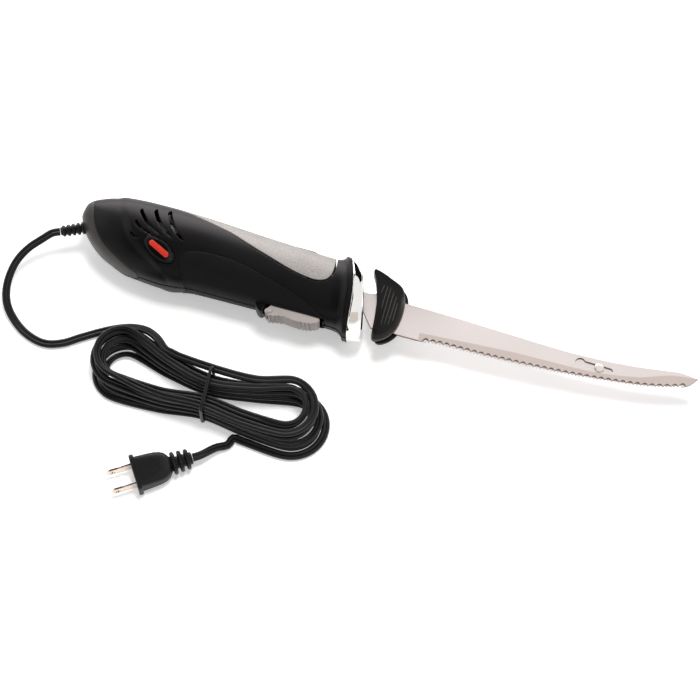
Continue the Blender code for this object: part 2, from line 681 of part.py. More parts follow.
cut(blank, skin_patch("panel_recess", grown(PANEL_OUTLINE, GAP), 1.0, SKIN + GAP, collection=CUTTERS),
    skin_patch("grip_recess", grown(GRIP_OUTLINE, GAP), 1.0, SKIN + GAP, collection=CUTTERS),
    skin_patch("badge_recess", badge_outline(GAP + 0.3), 1.0, SKIN + GAP, collection=CUTTERS))
for number, vent in enumerate(VENTS):
    cut(blank, plate(f"right_vent_{number}", vent_outline(*vent), WIDTH - 9, WIDTH + 2, collection=CUTTERS),
        plate(f"left_vent_{number}", vent_outline(*vent), -2, 9, collection=CUTTERS))
cut(blank, button_prism("button_window", GAP, 12.0, 40.0))
fuse(blank, plate("trigger_lug", LUG_OUTLINE, MID - TRIGGER_HALF_WIDTH, MID + TRIGGER_HALF_WIDTH,
                  collection=CUTTERS),
     plate("trigger_tongue", tongue_outline(2.7), MID - TONGUE_HALF_WIDTH, MID + TONGUE_HALF_WIDTH,
           collection=CUTTERS))
cut(blank, rod("trigger_pin_bore", (TRIGGER_PIN_X, TRIGGER_PIN_Y, MID - 10), 20, TRIGGER_PIN_RADIUS + GAP,
               sides=12, collection=CUTTERS))

for side in ("right", "left"):
    shell = half_space(side + "_housing", side == "right")
    CUTTERS.objects.unlink(shell)
    PARTS.objects.link(shell)
    shell.hide_render = False
    shell.display_type = "TEXTURED"
    shell.data.materials.append(BLACK)
    common(shell, blank)
    common(shell, plate(side + "_seam", SEAM_OUTLINE, -WIDTH, 2 * WIDTH, collection=CUTTERS))

    grip = skin_patch(side + "_grip", GRIP_OUTLINE, 0.0, SKIN, SOFT_BLACK)
    common(grip, half_space(side + "_grip_half", side == "right"))
    cut(grip, block(side + "_grip_window", *TRIGGER_WINDOW, collection=CUTTERS),
        plate(side + "_grip_lug", grown(LUG_OUTLINE, GAP), MID - TRIGGER_HALF_WIDTH - GAP,
              MID + TRIGGER_HALF_WIDTH + GAP, collection=CUTTERS))

    badge = skin_patch(side + "_badge", badge_outline(0.0), 0.4, SKIN, BADGE_BLACK)
    common(badge, half_space(side + "_badge_half", side == "right"))

panel = skin_patch("top_panel", PANEL_OUTLINE, 0.0, SKIN, SILVER)
cut(panel, button_prism("panel_button_window", GAP, 5.0, 40.0))

boot_axis = Vector((*BOOT_DIRECTION, 0.0)).normalized()
boot_foot = Vector((*BOOT_FOOT, MID))
boot_turn = Vector((0, 0, 1)).rotation_difference(boot_axis).to_matrix()


def boot_turned(name, profile, sides=10, finish=None, collection=PARTS):
    """Revolve (distance, radius) points about the cord's way out of the cap."""
    rings = []
    for distance, radius in profile:
        ring = []
        for i in range(sides):
            a = 2 * math.pi * i / sides
            ring.append(boot_foot + boot_turn @ Vector((radius * math.cos(a), radius * math.sin(a), distance)))
        rings.append(ring)
    return loft(name, rings, finish, collection)


cap = hull("rear_cap", 0.0, finish=CAP_GREY, collection=PARTS)
cut(cap, hull("cap_cavity", WALL, AROUND_INSIDE, flared=False, reach=LIP_X + 12),
    plate("cap_seam", grown(SEAM_OUTLINE, GAP), -WIDTH, 2 * WIDTH, collection=CUTTERS))
cut(cap, boot_turned("boot_bore", [(-14, BOOT_RIB_RADIUS + GAP), (8, BOOT_RIB_RADIUS + GAP)],
                     collection=CUTTERS))

for number, (x, y, head_z) in enumerate(SCREWS):
    turned(f"housing_screw_{number + 1}", [
        (0.0, SCREW_HEAD_RADIUS * 0.7), (0.5, SCREW_HEAD_RADIUS), (1.9, SCREW_HEAD_RADIUS),
        (1.9, SCREW_RADIUS), (SCREW_LENGTH - 1, SCREW_RADIUS), (SCREW_LENGTH, 0.5)],
        (x, y, head_z - GAP - 1.9), "Z", 8, SHAFT_STEEL)


# Collar and nose

COLLAR_X = LIP_X + GAP
COLLAR_FRONT = COLLAR_X + COLLAR_DEPTH
INNER_TOP, INNER_BOTTOM = LIP_TOP - COLLAR_WALL, LIP_BOTTOM + COLLAR_WALL
INNER_HALF = MID - COLLAR_WALL
# Rear inner edge, round the outside to the front, and back along the inside:
# x at the axis, share of the way from the rear plane's lean to the front's, top, bottom, half width
COLLAR_ROWS = (
    (COLLAR_X, 0.0, INNER_TOP, INNER_BOTTOM, INNER_HALF),
    (COLLAR_X, 0.0, LIP_TOP - 0.5, LIP_BOTTOM + 0.8, MID - 0.3),
    (COLLAR_X + 0.6, 0.0, LIP_TOP - 0.1, LIP_BOTTOM + 0.3, MID + 0.35),
    (COLLAR_X + 0.54 * COLLAR_DEPTH, 0.5, LIP_TOP - 1.6, LIP_BOTTOM + 1.4, MID + 0.35),
    (COLLAR_FRONT - 1.2, 0.9, LIP_TOP - 4.4, LIP_BOTTOM + 4.0, MID - 0.7),
    (COLLAR_FRONT, 1.0, LIP_TOP - 6.2, LIP_BOTTOM + 6.0, MID - 2.4),
    (COLLAR_FRONT - 0.2, 1.0, LIP_TOP - 8.4, LIP_BOTTOM + 8.2, MID - 4.6),
    (COLLAR_FRONT - 4.0, 0.7, LIP_TOP - 7.4, LIP_BOTTOM + 7.2, MID - 4.2),
    (COLLAR_X + 2.7, 0.0, INNER_TOP, INNER_BOTTOM, INNER_HALF))
collar = loft("chrome_ring", [oval(x + (1 - share) * LIP_BOW, COLLAR_LEAN + share * (FRONT_LEAN - COLLAR_LEAN), top, bottom, half, 28, 2.4,
                                   share * COLLAR_CROWN + (1 - share) * LIP_BOW / LIP_TOP ** 2)
                              for x, share, top, bottom, half in COLLAR_ROWS],
              CHROME, closed=True)
common(collar, block("collar_lands", (-40, -50, 0), (40, 50, WIDTH), collection=CUTTERS))
nose = loft("nose_plate", [oval(x + LIP_BOW, COLLAR_LEAN, INNER_TOP - GAP, INNER_BOTTOM + GAP, INNER_HALF - GAP, 28, 2.4,
                                LIP_BOW / LIP_TOP ** 2) for x in (COLLAR_X + GAP, COLLAR_X + NOSE_THICK)], BLACK)
TANG_LOW = TANG_MID_Y - TANG_HEIGHT / 2
TANG_HIGH = TANG_MID_Y + TANG_HEIGHT / 2
cut(nose, block("tang_opening", (-20, TANG_LOW - 1.5, MID - 3.0), (20, TANG_HIGH + 1.5, MID + 3.0),
                collection=CUTTERS))


# Trigger group

TRIGGER_PROFILE = [(-44.0, TRIGGER_TOP), (-16.2, TRIGGER_TOP), (-14.6, -20.4), (-13.6, -22.4), (-14.4, -24.0),
                   (-17.4, -25.6), (-22.0, -26.8), (-27.5, -27.4), (-32.0, -27.2), (-36.0, -26.9),
                   (-40.4, -27.7), (-44.4, -28.6), (-46.8, -28.0), (-48.6, -26.4), (-48.4, -25.0),
                   (-46.6, -22.6)]
KNUCKLE = (0.5, 0.25)          # rise and half length of the finger ribs


def ribbed(profile, first_x, last_x, pitch):
    """Put small ribs on the part of a profile between two x."""
    points = np.array(profile)
    out = []
    for here, there in zip(points, np.roll(points, -1, axis=0)):
        out.append(tuple(here))
        low, high = sorted((here[0], there[0]))
        under = here[1] < -25.5 and there[1] < -25.5
        if under and low >= first_x - 4 and high <= last_x + 4:
            count = max(1, round((high - low) / pitch))
            for i in range(count):
                middle = here + (there - here) * (i + 0.5) / count
                out += [(middle[0] + KNUCKLE[1], middle[1]), (middle[0], middle[1] - KNUCKLE[0]),
                        (middle[0] - KNUCKLE[1], middle[1])]
    return out


trigger_form = ribbed(TRIGGER_PROFILE, TRIGGER_PIN_X - 0.5, TRIGGER_WINDOW[1][0] - 3.6, 2.6)
trigger = stack("trigger", [(trigger_form, MID - TRIGGER_HALF_WIDTH), (trigger_form, MID + TRIGGER_HALF_WIDTH)],
                TRIGGER_GREY)
cut(trigger, rod("trigger_eye", (TRIGGER_PIN_X, TRIGGER_PIN_Y, MID - 10), 20, TRIGGER_PIN_RADIUS + GAP,
                 collection=CUTTERS),
    block("tongue_slot", (-60, -40, MID - TONGUE_HALF_WIDTH - GAP), (TRIGGER_PIN_X + 3.6, 0, MID + TONGUE_HALF_WIDTH + GAP),
          collection=CUTTERS))
pin_end = 2.0 + 2 * TRIGGER_HALF_WIDTH + 2 * GAP
turned("trigger_pin", [(0.0, PIN_HEAD_RADIUS - 0.5), (0.4, PIN_HEAD_RADIUS), (1.0, PIN_HEAD_RADIUS),
                       (1.0, TRIGGER_PIN_RADIUS), (pin_end - 1.0, TRIGGER_PIN_RADIUS),
                       (pin_end - 1.0, PIN_HEAD_RADIUS), (pin_end - 0.4, PIN_HEAD_RADIUS),
                       (pin_end, PIN_HEAD_RADIUS - 0.5)],
       (TRIGGER_PIN_X, TRIGGER_PIN_Y, MID - pin_end / 2), "Z", 14, TRIGGER_GREY)


def helix(middle, radius, low, high, turns, per_turn=7):
    """Points of a coil spring that stands along Y."""
    count = round(turns * per_turn)
    return [(middle[0] + radius * math.cos(2 * math.pi * i / per_turn),
             low + (high - low) * i / count,
             middle[1] + radius * math.sin(2 * math.pi * i / per_turn)) for i in range(count + 1)]


SPRING_WIRE = 0.35
tube("trigger_spring", helix((-22.0, MID), 2.2, TRIGGER_TOP + GAP + SPRING_WIRE,
                             SPRING_SEAT_Y - GAP - SPRING_WIRE, 3), SPRING_WIRE, SHAFT_STEEL, 1)
switch = block("power_switch", switch_low, switch_high, BADGE_BLACK)
PLUNGER_X = TRIGGER_PIN_X + 9.5
plunger_low = TRIGGER_TOP + GAP
cut(switch, rod("plunger_bore", (PLUNGER_X, switch_low[1] - 1, MID), 6.0, PLUNGER_RADIUS + GAP, "Y",
                collection=CUTTERS))
fuse(switch, block("terminal_0", (switch_low[0] - 3.5, -11.4, MID + 2.0), (switch_low[0] + 1, -10.6, MID + 4.4),
                   collection=CUTTERS),
     block("terminal_1", (switch_low[0] - 3.5, -11.4, MID - 4.4), (switch_low[0] + 1, -10.6, MID - 2.0),
           collection=CUTTERS))
rod("switch_plunger", (PLUNGER_X, plunger_low, MID), 4.6, PLUNGER_RADIUS, "Y", 16, TRIGGER_GREY)


# Release button

SHELF_Y = 12.0
button = button_prism("release_button", 0.0, SHELF_Y + 6.5, BUTTON_TOP, SILVER, PARTS)
bevel = button.modifiers.new("soft_edge", "BEVEL")
bevel.width = 0.6 * MM
bevel.segments = 2
bevel.limit_method = "ANGLE"
tube("release_spring", helix((BUTTON_X, MID), 2.6, SHELF_Y + GAP + SPRING_WIRE,
                             SHELF_Y + 6.5 - GAP - SPRING_WIRE, 3), SPRING_WIRE, SHAFT_STEEL, 1)


# Motor

def rotor_outline():
    """Rotor laminations in Y and Z, with eight slots."""
    points = []
    for tooth in range(8):
        for step, radius in ((-15, ROTOR_RADIUS), (0, ROTOR_RADIUS), (15, ROTOR_RADIUS),
                             (17, ROTOR_RADIUS - 3), (28, ROTOR_RADIUS - 3)):
            a = math.radians(45 * tooth + step)
            points.append((MOTOR_Y + radius * math.cos(a), MID + radius * math.sin(a)))
    return points


def on_shaft(name, profile, x, finish, sides=16, bore=SHAFT_RADIUS + GAP):
    """A turned piece about the motor shaft with a bore for it."""
    piece = turned(name, profile, (x, MOTOR_Y, MID), "X", sides, finish)
    length = profile[-1][0] - profile[0][0]
    cut(piece, rod(name + "_bore", (x + profile[0][0] - 1, MOTOR_Y, MID), length + 2, bore, "X", 12,
                   collection=CUTTERS))
    return piece


ROTOR_ENDS = (ROTOR_X - ROTOR_LENGTH / 2, ROTOR_X + ROTOR_LENGTH / 2)
rotor = along_x("rotor_core", rotor_outline(), *ROTOR_ENDS, LAMINATION)
cut(rotor, rod("rotor_bore", (ROTOR_ENDS[0] - 1, MOTOR_Y, MID), ROTOR_LENGTH + 2, SHAFT_RADIUS + GAP, "X", 12,
               collection=CUTTERS))
WINDING = [(0.0, 3.4), (0.0, 6.4), (1.2, 7.6), (2.6, 6.9), (3.2, 4.6), (3.2, 3.4)]
on_shaft("front_winding", WINDING, ROTOR_ENDS[1] + GAP, COPPER, 14)
on_shaft("rear_winding", [(-d, r) for d, r in reversed(WINDING)], ROTOR_ENDS[0] - GAP, COPPER, 14)
COMMUTATOR_X = ROTOR_ENDS[0] - 5.3 - COMMUTATOR_LENGTH
on_shaft("commutator", [(0.0, COMMUTATOR_RADIUS), (COMMUTATOR_LENGTH - 1, COMMUTATOR_RADIUS),
                        (COMMUTATOR_LENGTH - 1, COMMUTATOR_RADIUS + 0.7),
                        (COMMUTATOR_LENGTH, COMMUTATOR_RADIUS + 0.7)], COMMUTATOR_X, COPPER)
stator = along_x("stator_core", stator_outline(0.0), *STATOR_ENDS, LAMINATION)
cut(stator, rod("stator_bore", (STATOR_ENDS[0] - 1, MOTOR_Y, MID), STATOR_LENGTH + 2, ROTOR_RADIUS + 0.5, "X",
                collection=CUTTERS))
for number, side in enumerate((-1, 1)):
    near, far = sorted((MOTOR_Y + side * 6.0, MOTOR_Y + side * 12.6))
    cut(stator, block(f"winding_window_{number}", (STATOR_ENDS[0] - 1, near, MID - 9.5),
                      (STATOR_ENDS[1] + 1, far, MID + 9.5), collection=CUTTERS))


def field_coil(name, side):
    """A saddle coil: two legs through the windows and two arches past the ends."""
    leg_y, leg_z, arch_z, over = 10.0, 6.2, 11.9, 2.3
    legs = ((STATOR_ENDS[0] - over, -1), (STATOR_ENDS[1] + over, 1))
    points = []
    for x, way in legs:
        for a in np.radians(np.linspace(-90, 90, 7)):
            y = MOTOR_Y + way * leg_y * math.sin(a)
            points.append((x, y, MID + side * (leg_z + (arch_z - leg_z) * math.cos(a))))
    return tube(name, points, 1.9, COPPER, 2, cyclic=True)


field_coil("upper_field_coil", 1)
field_coil("lower_field_coil", -1)
SHAFT_START = BEARING_X[0] - GAP
WORM_START, WORM_END = WHEEL_X - 7.5, WHEEL_X + 7.5
rod("motor_shaft", (SHAFT_START, MOTOR_Y, MID), WORM_START - GAP - SHAFT_START, SHAFT_RADIUS, "X", 20, SHAFT_STEEL)
for name, x in (("rear_bearing", BEARING_X[0]), ("front_bearing", BEARING_X[1])):
    on_shaft(name, [(0.0, BEARING_RADIUS - 0.5), (0.5, BEARING_RADIUS), (BEARING_LENGTH - 0.5, BEARING_RADIUS),
                    (BEARING_LENGTH, BEARING_RADIUS - 0.5)], x, COPPER)
fan = rod("fan", (FAN_X + 5.0, MOTOR_Y, MID), 1.2, FAN_RADIUS, "X", 18, GEAR_WHITE)
fuse(fan, rod("fan_hub", (FAN_X - 0.5, MOTOR_Y, MID), 6.0, 4.2, "X", 18, collection=CUTTERS))
for number in range(FAN_BLADES):
    a = 2 * math.pi * number / FAN_BLADES
    tangent = Vector((0, -math.sin(a), math.cos(a)))
    radial = Vector((0, math.cos(a), math.sin(a)))
    middle_line = Vector((FAN_X, MOTOR_Y, MID))
    ring_near, ring_far = [], []
    for ring, radius, twist in ((ring_near, 3.6, 0.0), (ring_far, FAN_RADIUS - 0.3, 2.2)):
        for x, side in ((0.3, -0.6), (5.4, -0.6), (5.4, 0.6), (0.3, 0.6)):
            ring.append(middle_line + Vector((x, 0, 0)) + radial * radius + tangent * (side + twist))
    fuse(fan, loft(f"fan_blade_{number}", [ring_near, ring_far], collection=CUTTERS))
cut(fan, rod("fan_bore", (FAN_X - 2, MOTOR_Y, MID), 12, SHAFT_RADIUS + GAP, "X", 20, collection=CUTTERS))

BRUSH_X = COMMUTATOR_X + (COMMUTATOR_LENGTH - 1) / 2
for place, side in (("lower", -1), ("upper", 1)):
    inner, outer = COMMUTATOR_RADIUS + 0.8, 15.6
    low, high = sorted((MID + side * inner, MID + side * outer))
    holder = block(place + "_brush_holder", (BRUSH_X - 2.9, MOTOR_Y - 3.2, low),
                   (BRUSH_X + 2.9, MOTOR_Y + 3.2, high), GEAR_WHITE)
    low, high = sorted((MID + side * 3.0, MID + side * 13.6))
    cut(holder, block(place + "_holder_bore", (BRUSH_X - 1.9, MOTOR_Y - 2.0, low),
                      (BRUSH_X + 1.9, MOTOR_Y + 2.0, high), collection=CUTTERS))
    low, high = sorted((MID + side * (COMMUTATOR_RADIUS + GAP), MID + side * 12.5))
    block(place + "_brush", (BRUSH_X - 1.6, MOTOR_Y - 1.7, low), (BRUSH_X + 1.6, MOTOR_Y + 1.7, high), CARBON)


# Worm and crank wheel

PITCH = 2 * math.pi * WHEEL_PITCH_RADIUS / WHEEL_TEETH
THREAD_TIP, THREAD_ROOT = 0.30, 0.66     # half widths of the thread
TOOTH_TIP, TOOTH_ROOT = 0.25, 0.58       # half widths of a tooth
WORM_TIP_RADIUS = WORM_PITCH_RADIUS + TOOTH_DEPTH
WORM_ROOT_RADIUS = WORM_PITCH_RADIUS - TOOTH_DEPTH - BACKLASH
WHEEL_TIP_RADIUS = WHEEL_PITCH_RADIUS + TOOTH_DEPTH
WHEEL_ROOT_RADIUS = WHEEL_PITCH_RADIUS - TOOTH_DEPTH - BACKLASH


def worm_ring(x, sides=10):
    """One ring of the worm: a ridge where the helix passes, a root elsewhere."""
    ring = []
    for i in range(sides):
        a = 2 * math.pi * i / sides
        phase = (x - WHEEL_X) / PITCH - a / (2 * math.pi) + 0.5
        off = abs(phase - round(phase)) * PITCH
        climb = np.clip((THREAD_ROOT - off) / (THREAD_ROOT - THREAD_TIP), 0.0, 1.0)
        radius = WORM_ROOT_RADIUS + (WORM_TIP_RADIUS - WORM_ROOT_RADIUS) * climb
        ring.append((x, MOTOR_Y + radius * math.cos(a), MID + radius * math.sin(a)))
    return ring


loft("worm", [worm_ring(x) for x in np.linspace(WORM_START, WORM_END, 39)], SHAFT_STEEL)


def wheel_outline(twist):
    """Crank wheel teeth, one of them pointing at the worm."""
    points = []
    for tooth in range(WHEEL_TEETH):
        middle_angle = -math.pi / 2 + 2 * math.pi * tooth / WHEEL_TEETH + twist
        for half, radius in ((-TOOTH_ROOT, WHEEL_ROOT_RADIUS), (-TOOTH_TIP, WHEEL_TIP_RADIUS),
                             (TOOTH_TIP, WHEEL_TIP_RADIUS), (TOOTH_ROOT, WHEEL_ROOT_RADIUS)):
            a = middle_angle + half / radius
            points.append((WHEEL_X + radius * math.cos(a), WHEEL_Y + radius * math.sin(a)))
    return points


TEETH_TWIST = PITCH / (2 * math.pi * WORM_PITCH_RADIUS) / WHEEL_PITCH_RADIUS
wheel = stack("crank_wheel", [(wheel_outline(z * TEETH_TWIST), MID + z)
                              for z in (-WHEEL_HALF_WIDTH, WHEEL_HALF_WIDTH)], GEAR_WHITE)
fuse(wheel, rod("crank_right", (WHEEL_X, WHEEL_Y + CRANK_THROW, MID), CRANK_HALF_WIDTH, CRANK_RADIUS,
                sides=20, collection=CUTTERS),
     rod("crank_left", (WHEEL_X, WHEEL_Y - CRANK_THROW, MID - CRANK_HALF_WIDTH), CRANK_HALF_WIDTH, CRANK_RADIUS,
         sides=20, collection=CUTTERS))
cut(wheel, rod("wheel_bore", (WHEEL_X, WHEEL_Y, MID - 12), 24, AXLE_RADIUS + 0.15, collection=CUTTERS))
AXLE_HALF = axle_reach - 1.0 - GAP
rod("wheel_axle", (WHEEL_X, WHEEL_Y, MID - AXLE_HALF), 2 * AXLE_HALF, AXLE_RADIUS, sides=20, finish=SHAFT_STEEL)

YOKE_CLEAR = 0.35
SOCKET_X = (-34.0, -11.0)
SOCKET_HALF = TANG_HEIGHT / 2 + GAP + 2.2
yoke_half = CRANK_RADIUS + YOKE_CLEAR
yoke_reach = CRANK_RADIUS + CRANK_THROW + GAP
tang_far = BLADE_APART + BLADE_THICK


def between(side, near, far):
    """Two heights at distances from the mid plane, on one side of it."""
    return sorted((MID + side * near, MID + side * far))


for side_name, side in (("right", 1), ("left", -1)):
    low, high = between(side, YOKE_NEAR, YOKE_FAR)
    driver = plate(side_name + "_driver", rounded(WHEEL_X - yoke_half - YOKE_FRAME, WHEEL_Y - yoke_reach - YOKE_FRAME,
                                                  WHEEL_X + yoke_half + YOKE_FRAME, WHEEL_Y + yoke_reach + YOKE_FRAME,
                                                  2.0), low, high, GEAR_WHITE)
    cut(driver, block(side_name + "_yoke_slot", (WHEEL_X - yoke_half, WHEEL_Y - yoke_reach, low - 1),
                      (WHEEL_X + yoke_half, WHEEL_Y + yoke_reach, high + 1), collection=CUTTERS))
    fuse(driver, block(side_name + "_arm", (WHEEL_X + yoke_half + 0.5, TANG_MID_Y - 4.5, low),
                       (SOCKET_X[0] + 1, TANG_MID_Y + 4.5, high), collection=CUTTERS))
    low, high = between(side, GAP, YOKE_FAR)
    fuse(driver, block(side_name + "_socket", (SOCKET_X[0], TANG_MID_Y - SOCKET_HALF, low),
                       (SOCKET_X[1], TANG_MID_Y + SOCKET_HALF, high), collection=CUTTERS))
    low, high = between(side, -1.0, tang_far + GAP)
    cut(driver, block(side_name + "_tang_slot", (TANG_END_X - GAP, TANG_LOW - GAP, low),
                      (0, TANG_HIGH + GAP, high), collection=CUTTERS))

GUIDE_X = (-29.5, -16.5)
guide_low, guide_high = TANG_MID_Y - SOCKET_HALF - GAP, TANG_MID_Y + SOCKET_HALF + GAP
guide = block("slide_guide", (GUIDE_X[0], guide_low - 2, MID - YOKE_FAR - GAP - 2.2),
              (GUIDE_X[1], SHELF_Y, MID + YOKE_FAR + GAP + 2.2), BLACK)
guide_wide = hull_size(GUIDE_X[0] + 2, False)[2]
flange = [oval(x, lean(GUIDE_X[0]), SHELF_Y + 3.6, guide_low - 3.0, guide_wide - WALL - 2.6)
          for x in (GUIDE_X[0], GUIDE_X[0] + 2)]
fuse(guide, loft("guide_flange", flange, collection=CUTTERS),
     block("button_shelf", (BUTTON_X - 6, SHELF_Y - 1.8, MID - 5), (GUIDE_X[0] + 1, SHELF_Y, MID + 5),
           collection=CUTTERS))
cut(guide, block("guide_way", (-60, guide_low, MID - YOKE_FAR - GAP), (10, guide_high, MID + YOKE_FAR + GAP),
                 collection=CUTTERS))


# Blades, guards and rivet

SPINE = ((32.0, 7.6), (60.0, 7.9), (133.0, 7.3), (158.3, 8.4), (183.1, 11.2), (198.3, 13.8), (208.5, 15.3), BLADE_TIP)
EDGE = ((16.0, -14.6), (48.9, -13.8), (61.4, -12.6), (87.1, -11.6), (112.3, -10.0), (137.3, -7.8), (161.9, -4.7),
        (186.3, -0.8), (201.1, 3.0), (209.8, 6.2), (214.8, 9.0), BLADE_TIP)


def along(rows, x):
    rows = np.array(rows)
    return monotone(rows[:, 0], rows[:, 1], x)


def edge_points(side):
    """The scalloped edge as x, y and how far the ground bevel reaches above it.

    The left blade's scallops stand half a pitch on from the right's.
    """
    span = BLADE_TIP[0] - 6.0 - EDGE_START_X
    count = round(span / SCALLOP_PITCH)
    out = [(17.0, -14.9, 0.0), (EDGE_START_X - 3, float(along(EDGE, EDGE_START_X - 3)), 0.0)]
    ahead = 0.0 if side > 0 else 0.5
    for i in range(count + 1 - round(2 * ahead)):
        x = EDGE_START_X + span * (i + ahead) / count
        width = BEVEL_WIDTH * min(1.0, 0.25 + (BLADE_TIP[0] - x) / 60.0) * min(1.0, 0.3 + i / 2.0)
        out.append((x, float(along(EDGE, x)), width))
        if i + 2 * ahead < count:
            x_in = x + 0.5 * span / count
            depth = min(SCALLOP_DEPTH, 0.6 * width)
            out.append((x_in, float(along(EDGE, x_in)) + depth, width - depth))
    return out


def blade_levels(side):
    """Two outlines of one blade: the cutting face, and the face with the bevel ground off."""
    spine = [(x, float(along(SPINE, x))) for x in np.linspace(206, 36, 14)]
    tang = [(14.0, TANG_HIGH + 1.6), (9.0, TANG_HIGH), (TANG_END_X, TANG_HIGH), (TANG_END_X, TANG_LOW), (7.6, TANG_LOW)]
    sharp, ground = [], []
    for x, y, width in edge_points(side):
        sharp.append((x, y))
        ground.append((x, y + width))
    tip_flat = (BLADE_TIP[0] - 1.4, BLADE_TIP[1] - 0.1)
    inner = sharp + [BLADE_TIP] + spine + tang
    outer = ground + [tip_flat] + spine + tang
    near, far = MID + side * BLADE_APART, MID + side * (BLADE_APART + BLADE_THICK)
    return [(inner, near), (outer, far)] if side > 0 else [(outer, far), (inner, near)]


REAR_ARC = [(7.9, 20.2), (10.6, 15.2), (13.4, 8.6), (15.6, 1.8), (17.2, -6.0), (18.6, -14.4), (19.3, -21.0)]
FRONT_ARC = [(20.2, -22.9), (22.8, -23.2), (26.6, -21.2), (30.4, -17.0), (32.6, -11.4), (33.5, -5.0), (33.3, 2.4),
             (31.8, 9.6), (28.4, 14.9), (20.4, 18.8), (10.4, 22.1), (8.6, 21.8)]
LEFT_GUARD_AHEAD = 2.2
GUARD_OUTLINE = REAR_ARC + FRONT_ARC


def guard(side_name, side):
    """A thumb guard moulded over the root of one blade."""
    centre = np.mean(np.array(GUARD_OUTLINE), axis=0)
    ahead = 0.0 if side > 0 else LEFT_GUARD_AHEAD
    levels = []
    for share, distance in ((1.0, GAP), (1.0, GUARD_DEPTH - 2.4), (0.96, GUARD_DEPTH - 0.8), (0.88, GUARD_DEPTH)):
        outline = [tuple(centre + (np.array(p) - centre) * share + (ahead, 0.0)) for p in GUARD_OUTLINE]
        levels.append((outline, MID + side * distance))
    piece = stack(side_name + "_guard", levels if side > 0 else levels[::-1], BLACK)
    low, high = between(side, -1.0, tang_far + GAP)
    pocket = [(0, TANG_LOW - 2.5), (14.4, -15.4), (60, -15.4), (60, 8.4), (30, 8.6), (18.0, 9.4), (8, 9.4), (0, 9.4)]
    return cut(piece, plate(side_name + "_blade_pocket", pocket, low, high, collection=CUTTERS))


for side_name, side in (("right", 1), ("left", -1)):
    blade = stack(side_name + "_blade", blade_levels(side), BLADE_STEEL)
    guard(side_name, side)
    if side > 0:
        slot = rounded(RIVET_X - 12.0, RIVET_Y - RIVET_RADIUS - 0.4, RIVET_X + 8.6, RIVET_Y + RIVET_RADIUS + 0.4, 1.8)
        cut(blade, plate("rivet_slot", slot, MID - 1, MID + 4, collection=CUTTERS),
            rod("rivet_entry", (RIVET_X - 12.0, RIVET_Y, MID - 1), 5, RIVET_HEAD_RADIUS + 0.3, collection=CUTTERS))
    else:
        cut(blade, rod("rivet_hole", (RIVET_X, RIVET_Y, MID - 4), 5, RIVET_RADIUS + GAP, collection=CUTTERS))
reach = tang_far + GAP
turned("blade_rivet", [(-reach - 0.8, 1.6), (-reach - 0.5, 2.3), (-reach, 2.4), (-reach, RIVET_RADIUS),
                       (reach, RIVET_RADIUS), (reach, RIVET_HEAD_RADIUS), (reach + 0.4, RIVET_HEAD_RADIUS),
                       (reach + 0.9, RIVET_HEAD_RADIUS * 0.78), (reach + 1.1, RIVET_HEAD_RADIUS * 0.35)],
       (RIVET_X, RIVET_Y, MID), "Z", 14, BLADE_STEEL)


# Cord, hank, tie and strain relief

def hank_point(turn):
    """The cord's centre line in the hank, counted in turns from the far run's waist.

    Each of the four layers holds one and a half turns, spiralling in and out in turn; the
    runs are drawn together at the waist, and the layers fan apart a little at the ends.
    """
    legs = np.array((0.0, 1.5, 3.0, 4.5))
    leg = int(np.clip(np.searchsorted(legs, turn, side="right") - 1, 0, 3))
    ring = (1.5 - (turn - legs[leg])) if leg % 2 == 0 else (turn - legs[leg])
    layer = 3.0
    for reversal in legs[1:]:
        layer -= float(smoothstep((turn - reversal) * LOOP_POINTS / 4.0 + 0.5))
    quarter = (turn % 1.0) * 4.0
    part = int(quarter)
    local = (quarter - part) * LOOP_POINTS / 4.0
    if part % 2:
        local = LOOP_POINTS / 4.0 - local
    run_share = LOOP_POINTS / 12.0
    end_radius = HANK_END_RADIUS + HANK_STEP * ring
    waist = HANK_WAIST + HANK_WAIST_STEP * ring
    turn_x = HANK_HALF_LENGTH - CORD_RADIUS - HANK_END_RADIUS - 1.5 * HANK_STEP
    if local < run_share:
        along_run = local / run_share
        u = turn_x * along_run
        v = waist + (end_radius - waist) * float(smoothstep(along_run))
    else:
        a = (local - run_share) / (LOOP_POINTS / 4.0 - run_share) * math.pi / 2
        u = turn_x + end_radius * math.sin(a)
        v = end_radius * math.cos(a)
    u *= -1.0 if part in (2, 3) else 1.0
    v *= -1.0 if part in (1, 2) else 1.0
    spread = float(smoothstep((abs(u) - 10.0) / 50.0))
    fan = layer - 1.5
    front = 1 if u > 0 else 0
    v += spread * (HANK_BOW[front] + HANK_FAN[front][1] * fan)
    u += spread * ((HANK_REACH[1] if front else -HANK_REACH[0]) + HANK_FAN[front][0] * fan)
    lift = HANK_LIFT * float(smoothstep(1.0 - abs(u) / 34.0))
    c, s = math.cos(math.radians(HANK_TURN)), math.sin(math.radians(HANK_TURN))
    return (HANK_MIDDLE[0] + u * c - v * s, HANK_MIDDLE[1] + u * s + v * c,
            CORD_RADIUS + HANK_LAYER * layer + lift)


def cord_route(start, leave, route, arrive, end, spacing):
    """A smooth route whose first and last stretches are straight."""
    ends = [np.array(point, float) for point in (start, leave, arrive, end)]
    line = smooth_route([ends[0], ends[1], *route, ends[2], ends[3]], spacing)
    clear = 2.6 * CORD_RADIUS
    inner = [p for p in line
             if np.linalg.norm(p - ends[0]) > clear and np.linalg.norm(p - ends[3]) > clear]
    return [ends[0], ends[1], *inner, ends[2], ends[3]]


